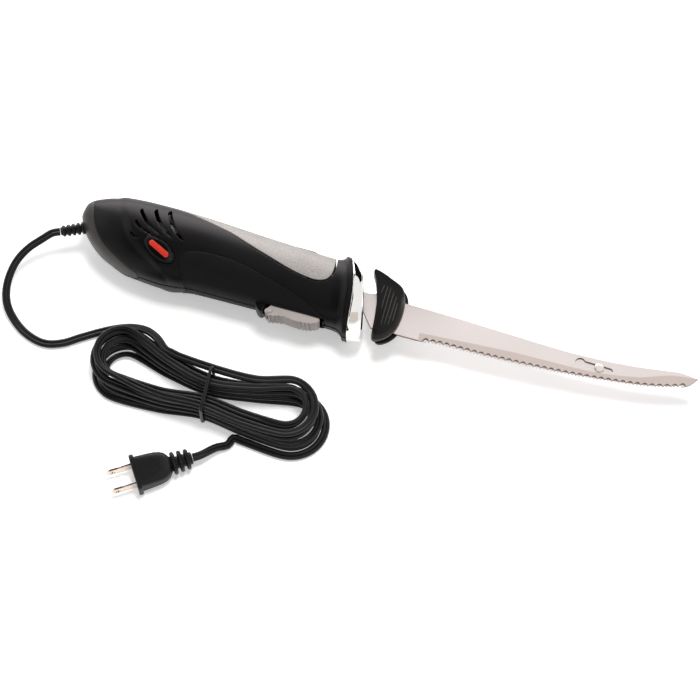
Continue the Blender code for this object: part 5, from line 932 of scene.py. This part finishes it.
CAP_DOME, CAP_RINGS, BOOT_GAP, PANEL_INSET = 0.55, (0.0, 0.3, 0.6, 0.85), 0.35, 0.3

u, v = np.meshgrid(stations[stations < -112], np.linspace(0, 2 * math.pi, 201), indexing="ij")
cap_skin = hull(u, v)
field = fields(cap_skin)
cap_skin = shaped(cap_skin, field)
cap_inner = hull(u, v, WALL)
cap_inner[..., 0] += WALL * smoothstep((-170 - u) / 10)
shrunk = lambda ring, share: ring.mean(axis=0) * (1 - share) + ring * share
dome = [shrunk(cap_skin[0], s) - (CAP_DOME * math.sqrt(1 - s * s), 0, 0) for s in CAP_RINGS]
cap_points = np.concatenate([dome, cap_skin])
cap_inner = np.concatenate([[shrunk(cap_inner[0], s) for s in CAP_RINGS], cap_inner])
from_foot = cap_points - (*BOOT_FOOT, MID)
beside_boot = from_foot - (from_foot @ boot_axis)[..., None] * boot_axis
hole = np.linalg.norm(beside_boot, axis=-1) - RIB_RADIUS - BOOT_GAP
front = np.concatenate([np.full((len(dome), u.shape[1]), -OUT_OF_REACH), field["front"]])
inside = np.minimum(-front - SEAM_GAP, np.where(cap_points[..., 0] < -150, hole, OUT_OF_REACH)) - RIM
piece("rear_cap_cup", trimmed(cap_points, cap_inner, inside, RIM), CAP_GREY, ("rear_cap",),
    sharp=38)

PANEL_SILVER = finish("panel_silver", (0.325, 0.312, 0.298), 0.50, metallic=0.12, specular=0.3, grain=0.8,
    grain_size=0.8, bump=0.05, tone=0.30)
u, v = np.meshgrid(stations[(stations > -135) & (stations < -10)], np.linspace(-1.75, 1.75, 150), indexing="ij")
panel_skin = hull(u, v)
field = fields(panel_skin)
inside = np.minimum(field["panel"] - PANEL_INSET, -field["button"]) - RIM
cover = np.minimum(panel_skin + PANEL_PROUD * field["normal"], (300, SPINE_TOP, 60))
piece("top_silver_panel", trimmed(cover, panel_skin - field["normal"] * SKIN, inside, RIM), PANEL_SILVER,
    ("top_panel",), sharp=38)

# Badges, screws and trigger bracket
# Glossy black domes, each with one plain red bar, are glued into oval pockets behind the grips. Four
# steel screws sit in sinks on the left shell, and a bracket under the belly holds the trigger's pin.

BADGE_GLOSS = finish("badge_gloss", (0.003, 0.003, 0.0036), 0.18, specular=0.30, grain=0.2, grain_size=1.0,
    coat=0.05, coat_roughness=0.06)
BADGE_RED = finish("badge_red", (0.62, 0.035, 0.016), 0.35, specular=0.3, grain=0.2, grain_size=1.0, tone=0.06)
SCREW_STEEL = finish("screw_steel", (0.36, 0.36, 0.37), 0.32, metallic=1.0, grain=0.4, grain_size=0.6,
    bump=0.05)


def side_height(x, y):
    """Distance of the skin from the mid plane over a side-view point, where sections stand square."""
    top, bottom, half = (monotone(HULL_ROWS, k, x) for k in (1, 2, 3))
    share = np.abs((y - (top + bottom) / 2) / ((top - bottom) / 2))
    return half * np.maximum(1 - share ** HULL_POWER, 1e-6) ** (1 / HULL_POWER)


# Badge profile from under the rim over the groove to the middle: share of the half sizes, height
badge_profile = eased([(0.0, -1.1), (0.955, -1.1), (0.97, -0.2), (0.97, 0.22), (0.95, 0.36), (0.92, 0.38),
    (0.90, 0.30), (0.89, 0.02), (0.86, 0.0), (0.85, 0.14), (0.80, 0.26), (0.55, 0.34), (0.3, 0.38),
    (0.0, 0.40)], 1)


def badge_xy(u, v):
    """Side-view place of a point given along the badge's two axes."""
    c, s = math.cos(BADGE_TILT), math.sin(BADGE_TILT)
    return BADGE_MIDDLE[0] + u * c - v * s, BADGE_MIDDLE[1] + u * s + v * c


def on_badge(flat, height):
    """Points over the badge's dome from its two axes, and how high they stand over it."""
    x, y = badge_xy(flat[:, 0], flat[:, 1])
    dome = np.interp(np.hypot(*(flat / BADGE_HALF).T), (0, 0.3, 0.55, 0.8, 1.0), (0.42, 0.40, 0.36, 0.28, 0.0))
    return np.stack([x, y, side_height(x, y) + dome + height], axis=-1)


share, turn = np.meshgrid(np.maximum(badge_profile[:, 0], 0.01), np.linspace(0, 2 * math.pi, 97)[:-1],
    indexing="ij")
x, y = badge_xy(share * BADGE_HALF[0] * np.cos(turn), share * BADGE_HALF[1] * np.sin(turn))
slope = np.stack([-(side_height(x + 0.1, y) - side_height(x - 0.1, y)) / 0.2,
    -(side_height(x, y + 0.1) - side_height(x, y - 0.1)) / 0.2, np.ones_like(x)], axis=-1)
badge_rings = np.stack([x, y, side_height(x, y)], axis=-1) + unit(slope) * badge_profile[:, 1, None, None]
BAR_HALF_LENGTH, BAR_HALF_WIDTH = 7.6, 1.7
BAR_LEVELS = [(0.0, -0.6), (0.0, 0.12), (0.1, 0.2), (0.7, 0.24), (1.3, 0.26), (1.66, 0.27)]
bar_loop = rounded_loop(-BAR_HALF_LENGTH, -BAR_HALF_WIDTH, BAR_HALF_LENGTH, BAR_HALF_WIDTH,
    BAR_HALF_WIDTH - 0.01, 8)
bar_loop = np.vstack([bar_loop, bar_loop[:1]])
bar_run = run_along(bar_loop)
bar_rings = plate(read_at(bar_loop, bar_run, np.linspace(0, bar_run[-1], 81)[:-1]), BAR_LEVELS, on_badge)
for side_name, side in SIDES:
    to_side = lambda rings: skin(rings * (1, 1, side) + (0, 0, MID))
    piece(f"{side_name}_oval_badge", to_side(badge_rings), BADGE_GLOSS, (f"{side_name}_badge",),
        sharp=50)
    piece(f"{side_name}_badge_bar", to_side(bar_rings), BADGE_RED, sharp=50)

# Head, cross-shaped socket and its floor; the socket's two rings are drawn in four times round
SCREW_PROFILE = [(0.0, 0.2), (0.0, 2.6), (0.5, 2.75), (1.6, 2.75), (1.9, 2.5), (2.0, 1.9), (1.2, 1.5),
    (1.15, 0.2)]
SCREW_DEPTHS = (16.0, 13.5, 11.5, 14.0)
socket = 0.72 + 0.28 * np.cos(4 * np.linspace(0, 2 * math.pi, 41)[:-1])[:, None]
for number, ((x, y), deep) in enumerate(zip(SCREWS, SCREW_DEPTHS), 1):
    head = turned(SCREW_PROFILE, (x, y, MID + 1.0 - deep), (0, 0, -1), 40)
    head[-3:-1, :, :2] = (x, y) + (head[-3:-1, :, :2] - (x, y)) * socket
    piece(f"shell_screw_{number}", skin(head), SCREW_STEEL, sharp=30)

LUG_LINE = smooth_outline([(-56.5, -21.0), (-55.2, -24.2), (-53.0, -26.6), (-50.8, -27.3), (-49.5, -26.6),
    (-49.2, -21.0), (-50.5, -17.5), (-55.0, -17.5)], spacing=0.6)
side_on = lambda flat, height: np.column_stack([flat, np.full(len(flat), MID + height)])
PIN = np.array((-45.5, -25.7))
tongue_line = np.vstack([PIN + 2.7 * arc(-130, 20, 14), [(-42.8, -19.0), (-51.0, -19.0), (-51.0, -26.7)]])
bracket = joined(skin(plate(LUG_LINE, soft_levels(-TRIGGER_HALF, TRIGGER_HALF, 0.7), side_on)),
    skin(plate(tongue_line, soft_levels(-2.0, 2.0, 0.3, 3), side_on)))
piece("trigger_bracket", bracket, HANDLE_BLACK)

# Trigger and pin
# A warm grey rocker under the neck, moulded with ribbed finger pads at both ends and a hollow
# between them. It turns on a steel-grey pin with domed heads and presses the switch above it.

TRIGGER_GREY = finish("trigger_grey", (0.44, 0.40, 0.382), 0.42, specular=0.4, grain=0.5, grain_size=0.4,
    bump=0.08)
TRIGGER_LINE = smooth_outline([(-44.0, -19.0), (-30.0, -19.0), (-17.5, -19.0), (-15.6, -19.5), (-14.6, -20.6),
    (-13.8, -22.4), (-14.6, -24.0), (-17.4, -25.6), (-22.0, -26.8), (-27.5, -27.4), (-32.0, -27.2),
    (-36.0, -26.9), (-40.4, -27.7), (-44.4, -28.6), (-46.8, -28.0), (-48.6, -26.4), (-48.4, -25.0),
    (-46.6, -22.6), (-45.4, -20.2)], spacing=0.3)
rings = plate(TRIGGER_LINE, soft_levels(-TRIGGER_HALF, TRIGGER_HALF, 0.75, 5), side_on)
# Finger ribs under both pads, none in the hollow between, at the rear end or on the rounded rims
RIB_PITCH, RIB_DEPTH, HOLLOW_X = 2.4, 0.62, -31.5
x, y, z = rings[..., 0], rings[..., 1], rings[..., 2]
ribbed = np.clip((-25.0 - y) / 0.6, 0, 1) * np.clip(np.abs(x - HOLLOW_X) / 2.0 - 2.0, 0, 1)
ribbed *= np.clip((x + 47.5) / 1.5, 0, 1) * np.clip((5.55 - np.abs(z - MID)) / 0.3, 0.25, 1)
rings[..., 1] -= ribbed * RIB_DEPTH * np.maximum(np.sin(x * 2 * math.pi / RIB_PITCH), -0.4)
piece("rocker_trigger", skin(rings), TRIGGER_GREY, ("trigger",), "trigger", sharp=34)
pin_profile = eased([(0.0, 0.15), (0.0, 1.2), (0.4, 1.8), (1.0, 1.9), (1.0, 1.2), (12.8, 1.2), (12.8, 1.9),
    (13.4, 1.8), (13.8, 1.2), (13.8, 0.15)], 1)
piece("trigger_pivot_pin", skin(turned(pin_profile, (*PIN, MID - 6.9), (0, 0, 1), 40)), TRIGGER_GREY,
    ("trigger_pin",))

# Release button
# A black moulded button in a window of the silver panel. Pressing it frees both blades; three
# ridges across it stop the thumb from slipping.

BUTTON_BLACK = finish("button_black", (0.005, 0.005, 0.0055), 0.42, specular=0.24, grain=0.5, grain_size=0.4,
    bump=0.08)
button_line = rounded_loop(-BUTTON_HALF[0], -BUTTON_HALF[1], BUTTON_HALF[0], BUTTON_HALF[1], 3.0, 8)
button_lean = float(lean(np.array(BUTTON_X)))
crowned = lambda flat, height: np.column_stack([BUTTON_X + flat[:, 0] - button_lean * (height - BUTTON_TOP),
    height - 0.5 * smoothstep((height - BUTTON_TOP + 1.2) / 1.2) * (flat[:, 0] / BUTTON_HALF[0]) ** 2,
    MID + flat[:, 1]])
button_levels = [(0.0, 18.5), (0.0, BUTTON_TOP - 1.1), (0.12, BUTTON_TOP - 0.6), (0.4, BUTTON_TOP - 0.25),
    (0.8, BUTTON_TOP - 0.06), (1.3, BUTTON_TOP), (2.6, BUTTON_TOP)]
button = [skin(plate(button_line, button_levels, crowned))]
bar_round = circle(12)
for place in (-3.4, 0.0, 3.4):
    height = BUTTON_TOP - 0.18 - 0.5 * (place / BUTTON_HALF[0]) ** 2
    ridge = np.linspace((BUTTON_X + place, height, MID - 2.9), (BUTTON_X + place, height, MID + 2.9), 15)
    button.append(skin(carried(ridge, 0.42 * bar_round, level=(1, 0, 0))))
piece("release_thumb_button", joined(*button), BUTTON_BLACK, ("release_button",), "button")

# Chrome collar
# A chromed moulded ring at the mouth of the handle, domed along its length and bevelled at the
# front. It leans back with the lip and is pressed on the shells' spigot.

FRONT_LEAN, FRONT_CROWN, COLLAR_POWER = math.tan(math.radians(19.4)), 0.003, 2.4
COLLAR_X = LIP_X + GAP
# x at the axis, share of the way from the rear lean to the front lean, top, bottom, half width
COLLAR_ROWS = [(COLLAR_X, 0.0, 21.8, -23.0, 19.8), (COLLAR_X, 0.0, 24.5, -25.4, 22.7),
    (-1.9, 0.0, 24.9, -25.9, 23.35), (2.954, 0.5, 23.4, -24.8, 23.35), (6.3, 0.9, 20.7, -22.3, 22.4),
    (6.5, 0.91, 20.4, -22.0, 22.1), (7.6, 1.0, 18.8, -20.2, 20.6), (7.4, 1.0, 16.6, -18.0, 18.4),
    (3.6, 0.7, 17.6, -19.0, 18.8), (COLLAR_X + 2.7, 0.0, 21.8, -23.0, 19.8), (COLLAR_X, 0.0, 21.8, -23.0, 19.8)]


def collar_rings(rows, sides=160):
    """Superellipses round the knife's axis, sheared back and crowned by each row's share."""
    c, s = squarish(np.linspace(0, 2 * math.pi, sides + 1)[:-1], COLLAR_POWER)
    x, share, top, bottom, half = (column[:, None] for column in np.array(rows, float).T)
    y = (top + bottom) / 2 + (top - bottom) / 2 * c
    slope = COLLAR_LEAN + share * (FRONT_LEAN - COLLAR_LEAN)
    ahead = (1 - share) * LIP_BOW * (1 - (y / LIP_TOP) ** 2) - share * FRONT_CROWN * y * y
    return np.stack([x + ahead - slope * y, y, np.clip(MID + half * s, 0.0, 2 * MID)], axis=-1)


CHROME = finish("collar_chrome", (0.83, 0.82, 0.81), 0.045, metallic=1.0, rough_spread=0.015, grain=0.2,
    grain_size=2.0, tone=0.02)
piece("chrome_collar", skin(collar_rings(eased(COLLAR_ROWS, 3)[:-1]), True), CHROME, ("chrome_ring",),
    sharp=28)

# Blades
# A pair of stamped stainless blades lies flat against each other, each with a tang in its
# driver. The cutting edges are scalloped and ground on their outer faces, and the spines curve up.

BLADE_STEEL = finish("blade_steel", (0.77, 0.70, 0.675), 0.25, metallic=1.0, grain=0.3, grain_size=0.30,
    stretch=9, tone=0.025, rough_spread=0.02, mottle_size=40)
# The dark brown below is painted shade on the blade's cut faces and along its arches, not a colour of the steel
CUT_STEEL_SHADE = finish("cut_steel_painted_shade", (0.20, 0.155, 0.135), 0.45, metallic=1.0, grain=0.5, grain_size=0.3, tone=0.15)
GROUND_STEEL = finish("ground_steel", (0.62, 0.53, 0.49), 0.30, metallic=1.0, grain=0.3, grain_size=0.25,
    stretch=12, tone=0.03, rough_spread=0.02)
# The tang's two lines, and the blade's spine, edge and upper line of the ground bevel
TANG_LOW, TANG_HIGH = ((7.6, -3.9), (17.0, -14.9), (20.0, -14.6)), ((9.0, 7.1), (14.0, 8.7))
SPINE = np.array(((14.0, 8.7), (32.0, 7.6), (60.0, 7.9), (133.0, 7.3), (158.3, 8.4), (183.1, 11.2),
    (198.3, 13.8), (208.5, 15.3), (219.0, 14.6)))
EDGE = np.array(((16.0, -14.6), (48.9, -13.8), (61.4, -12.6), (87.1, -11.6), (112.3, -10.0), (137.3, -7.8),
    (161.9, -4.7), (186.3, -0.8), (201.1, 3.0), (209.8, 6.2), (214.8, 9.0), (219.0, 14.6)))
BEVEL_TOP = np.array(((47.0, -8.9), (112.1, -3.1), (150.7, -1.3), (181.7, 3.9), (205.5, 12.6), (219.0, 14.6)))
EDGE_START, SCALLOPS, SCALLOP_DEPTH, ARCH_LIP = 50.0, 37, 2.4, 0.28
BLADE_NEAR, BLADE_FAR, BLADE_TIP_X = 0.1, 1.1, 219.0
scallop_pitch = (BLADE_TIP_X - 6.0 - EDGE_START) / SCALLOPS
BEVEL_START, BEVEL_HEIGHT, GRIND_DEPTH = 47.0, 4.9, 0.5
RIVET, SLOT_REAR = (159.3, 2.9), 147.3

blade_x = np.concatenate([np.linspace(-32, 7, 20), np.linspace(7.6, EDGE_START - 0.4, 90),
    EDGE_START + np.arange(SCALLOPS * 12 + 1) * scallop_pitch / 12,
    np.linspace(BLADE_TIP_X - 5.7, BLADE_TIP_X - 0.12, 20)])
low_line = np.where(blade_x < 20.0, np.interp(blade_x, *zip(*TANG_LOW)), monotone(EDGE, 1, blade_x))
high_line = np.where(blade_x < 14.0, np.interp(blade_x, *zip(*TANG_HIGH)), monotone(SPINE, 1, blade_x))
bevel_line = np.where(blade_x < BEVEL_START, low_line + BEVEL_HEIGHT, monotone(BEVEL_TOP, 1, blade_x))
bevel_line = np.minimum(bevel_line, low_line + 0.93 * (high_line - low_line))
ground = smoothstep((blade_x - BEVEL_START) / 0.9)


def blade_grid(phase):
    """Heights over the blade, row by row from the scalloped edge up, and how deep the bevel is ground.

    The scallops are arches between sharp points; a share of their pitch shifts them along.
    """
    at = (blade_x - EDGE_START) / scallop_pitch - phase
    arch = np.abs(np.sin(math.pi * at)) ** 0.9 * (at >= 0) * (at <= SCALLOPS - 2 * phase)
    cutting_line = low_line + np.minimum(SCALLOP_DEPTH, 0.5 * (bevel_line - low_line)) * arch
    steepness = np.hypot(1, np.gradient(cutting_line, blade_x))
    lip_line = cutting_line + ARCH_LIP * np.minimum(steepness, 2)
    level = np.linspace(0, 1, 7)[:, None]
    y = np.vstack([cutting_line, lip_line + (bevel_line - lip_line) * level,
        bevel_line + (high_line - bevel_line) * np.linspace(0, 1, 30)[1:, None]])
    share = np.clip((y - low_line) / (bevel_line - low_line), 0, 1)
    return y, (1 - share) * ground, lip_line, arch


for side_name, side in SIDES:
    y, depth, lip_line, arch = blade_grid(0.0 if side > 0 else 0.5)
    x = np.broadcast_to(blade_x, y.shape)
    if side > 0:
        opening = np.maximum(box_inside(x, y, SLOT_REAR, 167.9, 1.0, 4.8, 1.85),
            3.2 - np.hypot(x - SLOT_REAR, y - RIVET[1]))
    else:
        opening = 1.8 - np.hypot(x - RIVET[0], y - RIVET[1])
    outer = np.stack([x, y, MID + side * (BLADE_FAR - GRIND_DEPTH * depth)], axis=-1)
    inner = np.stack([x, y, np.full(y.shape, MID + side * BLADE_NEAR)], axis=-1)
    if side < 0:
        outer, inner, opening = outer[::-1], inner[::-1], opening[::-1]
    blade = piece(f"{side_name}_fillet_blade", trimmed(outer, inner, -opening - 0.06, 0.06), BLADE_STEEL,
        (f"{side_name}_blade",), f"{side_name}_cutter", sharp=6)
    # The ground bevel has a finish of its own; the cut faces of the edge and a thin band along each arch are
    # dark brown, painted shade of the arch walls
    blade.data.materials.append(GROUND_STEEL)
    blade.data.materials.append(CUT_STEEL_SHADE)
    faces = blade.data.polygons
    middles, facing = np.zeros(3 * len(faces)), np.zeros(3 * len(faces))
    faces.foreach_get("center", middles)
    faces.foreach_get("normal", facing)
    x, y, z = middles.reshape(-1, 3).T * 1000
    bevel = (y < np.interp(x, blade_x, bevel_line)) & (x > BEVEL_START + 0.2)
    bevel &= side * (z - MID) > BLADE_NEAR + 0.05
    # A thin band along the lip of each arch gets the same painted shade
    shaded_arch_band = (y < np.interp(x, blade_x, lip_line)) & bevel & (side > 0) & (np.interp(x, blade_x, arch) > 0.03)
    shaded_cut_face = (np.abs(facing.reshape(-1, 3)[:, 2]) < 0.6) | shaded_arch_band
    faces.foreach_set("material_index", np.where(shaded_cut_face, 2, np.where(bevel, 1, 0)).astype(np.int32))

# Blade guards
# A black thumb guard is moulded over the root of each blade, hollowed at the rear and swelling
# forward, with six slanted grip ribs on its outer face.

GUARD_BLACK = finish("guard_black", (0.0046, 0.0040, 0.0038), 0.42, specular=0.19, bump=0.10)
# The ribs' lighter colour below is a painted highlight where the raised ribs catch the light; they are moulded
# in the guard's black
GUARD_RIB_HIGHLIGHT = finish("guard_rib_painted_highlight", (0.055, 0.053, 0.048), 0.45, specular=0.4)
# The brown edge below is a painted reflection of the warm blade, not the guard's plastic
GUARD_EDGE_REFLECTION = finish("guard_edge_painted_reflection", (0.085, 0.050, 0.034), 0.40, specular=0.4, bump=0.05)
GUARD_REAR = [(7.9, 20.2), (10.6, 15.2), (13.4, 8.6), (15.6, 1.8), (17.2, -6.0), (18.6, -14.4), (19.3, -21.0)]
GUARD_LINE = smooth_outline(GUARD_REAR + [(20.2, -22.9), (22.8, -23.2), (26.6, -21.2), (30.4, -17.0),
    (32.6, -11.4), (33.5, -5.0), (33.3, 2.4), (31.8, 9.6), (28.4, 14.9), (20.4, 18.8), (10.4, 22.1),
    (8.6, 21.8)], spacing=0.6)
GUARD_RIBS = (((17.4, 12.4), (16.9, 6.6)), ((19.5, 12.5), (20.4, -4.0)), ((21.7, 12.1), (23.4, -14.6)),
    ((24.3, 10.1), (25.5, -13.6)), ((26.9, 7.4), (27.6, -13.2)), ((28.8, 3.3), (29.5, -9.8)))
LEFT_GUARD_AHEAD, RIB_HEIGHT, RIB_SIZE = 2.2, 8.1, 0.26
guard_levels = [(0.25, 0.3), (0.0, 0.55), (0.0, 3.0), (0.0, 5.4), (0.1, 6.4), (0.3, 7.0), (0.65, 7.55),
    (1.1, 7.9), (1.6, 8.08), (2.2, 8.14)]
front_levels = [(0.25, 0.3), (0.0, 0.5), (0.0, 0.9), (0.0, 1.4), (0.0, 2.0), (0.35, 3.0), (1.0, 4.8),
    (1.7, 6.4), (2.5, 7.6), (3.5, 8.14)]
# Where the guard's outer face slopes down to its front edge, and where its rear face stands sheer
fore = smoothstep((GUARD_LINE[:, 0] + 0.55 * np.abs(GUARD_LINE[:, 1] + 4) - 25.0) / 4.0)
fore *= smoothstep((13 - GUARD_LINE[:, 1]) / 6)
rear_x = np.interp(GUARD_LINE[:, 1], *np.array(GUARD_REAR[::-1]).T[::-1])
sheer_share = (smoothstep(1.4 - np.abs(GUARD_LINE[:, 0] - rear_x) / 1.5) * (1 - fore))[:, None]
all_levels = guard_levels, [(0.12 * draw, height) for draw, height in guard_levels], front_levels
t = np.linspace(0, 1, 17)[:, None, None]
rib_section = np.sqrt(np.clip(1 - (2 * t - 1) ** 8, 0.02, 1)) * RIB_SIZE * bar_round
for side_name, side in SIDES:
    ahead, body = (0.0 if side > 0 else LEFT_GUARD_AHEAD), f"{side_name}_cutter"
    lay = lambda flat, height: np.column_stack([flat[:, 0] + ahead, flat[:, 1],
        np.full(len(flat), MID + side * height)])
    drawn, sheer, sloped = (plate(GUARD_LINE, levels, lay) for levels in all_levels)
    rings = drawn + (sheer - drawn) * sheer_share + (sloped - drawn) * fore[:, None]
    ribs = [skin(carried(np.linspace(*lay(np.array(ends), RIB_HEIGHT), 17), rib_section, level=(0, 0, side)))
        for ends in GUARD_RIBS]
    piece(f"{side_name}_guard_ribs", joined(*ribs), GUARD_RIB_HIGHLIGHT, body=body, sharp=50)
    guard = piece(f"{side_name}_thumb_guard", skin(rings), GUARD_BLACK, (f"{side_name}_guard",),
        body, sharp=38)
    # One row of faces along the front edge is brown, a painted reflection of the warm blade in the guard's edge
    guard.data.materials.append(GUARD_EDGE_REFLECTION)
    reflection_faces = np.zeros(len(guard.data.polygons), np.int32)
    reflection_faces[4 * len(fore):5 * len(fore)] = fore > 0.5
    guard.data.polygons.foreach_set("material_index", reflection_faces)

# Blade rivet
# A turned steel button riveted in the left blade slides in the right blade's keyhole slot and
# holds the pair together.

rivet_profile = eased([(-2.2, 0.2), (-2.2, 1.6), (-1.9, 2.3), (-1.4, 2.4), (-1.4, 1.5), (1.4, 1.5), (1.4, 2.9),
    (1.8, 2.9), (2.2, 2.4), (2.45, 1.2), (2.5, 0.2)], 1)
piece("blade_button_rivet", skin(turned(rivet_profile, (*RIVET, MID), (0, 0, 1), 48)), BLADE_STEEL,
    ("blade_rivet",), "left_cutter")

# Motor, gear and wiring
# What is inside shows only through the vents and the mouth of the collar: the motor's cores and
# copper, the nylon gear, the drivers and the wires, each in its own stock's finish.

INSIDE = (("core_steel", (0.33, 0.33, 0.34), 0.42, 1.0, "stator_core rotor_core"),
    ("winding_copper", (0.55, 0.25, 0.12), 0.34, 0.9,
    "upper_field_coil lower_field_coil front_winding rear_winding commutator"),
    ("shaft_steel", (0.52, 0.51, 0.50), 0.28, 1.0,
    "motor_shaft front_bearing rear_bearing worm wheel_axle trigger_spring release_spring "
    "housing_screw_1 housing_screw_2 housing_screw_3 housing_screw_4"),
    ("brush_carbon", (0.03, 0.03, 0.032), 0.6, 0.0, "upper_brush lower_brush"),
    ("gear_nylon", (0.72, 0.68, 0.58), 0.45, 0.0, "crank_wheel right_driver left_driver fan switch_plunger"),
    ("dark_nylon", (0.014, 0.014, 0.015), 0.5, 0.0,
    "nose_plate slide_guide power_switch upper_brush_holder lower_brush_holder"),
    ("wire_jacket", (0.5, 0.5, 0.48), 0.5, 0.0, "live_wire neutral_wire"))
for name, colour, roughness, metallic, nodes in INSIDE:
    stock = finish(name, colour, roughness, metallic=metallic, specular=0.3, bump=0.06)
    for node in nodes.split():
        for place in bpy.data.objects.get(node).material_slots:
            place.material = stock
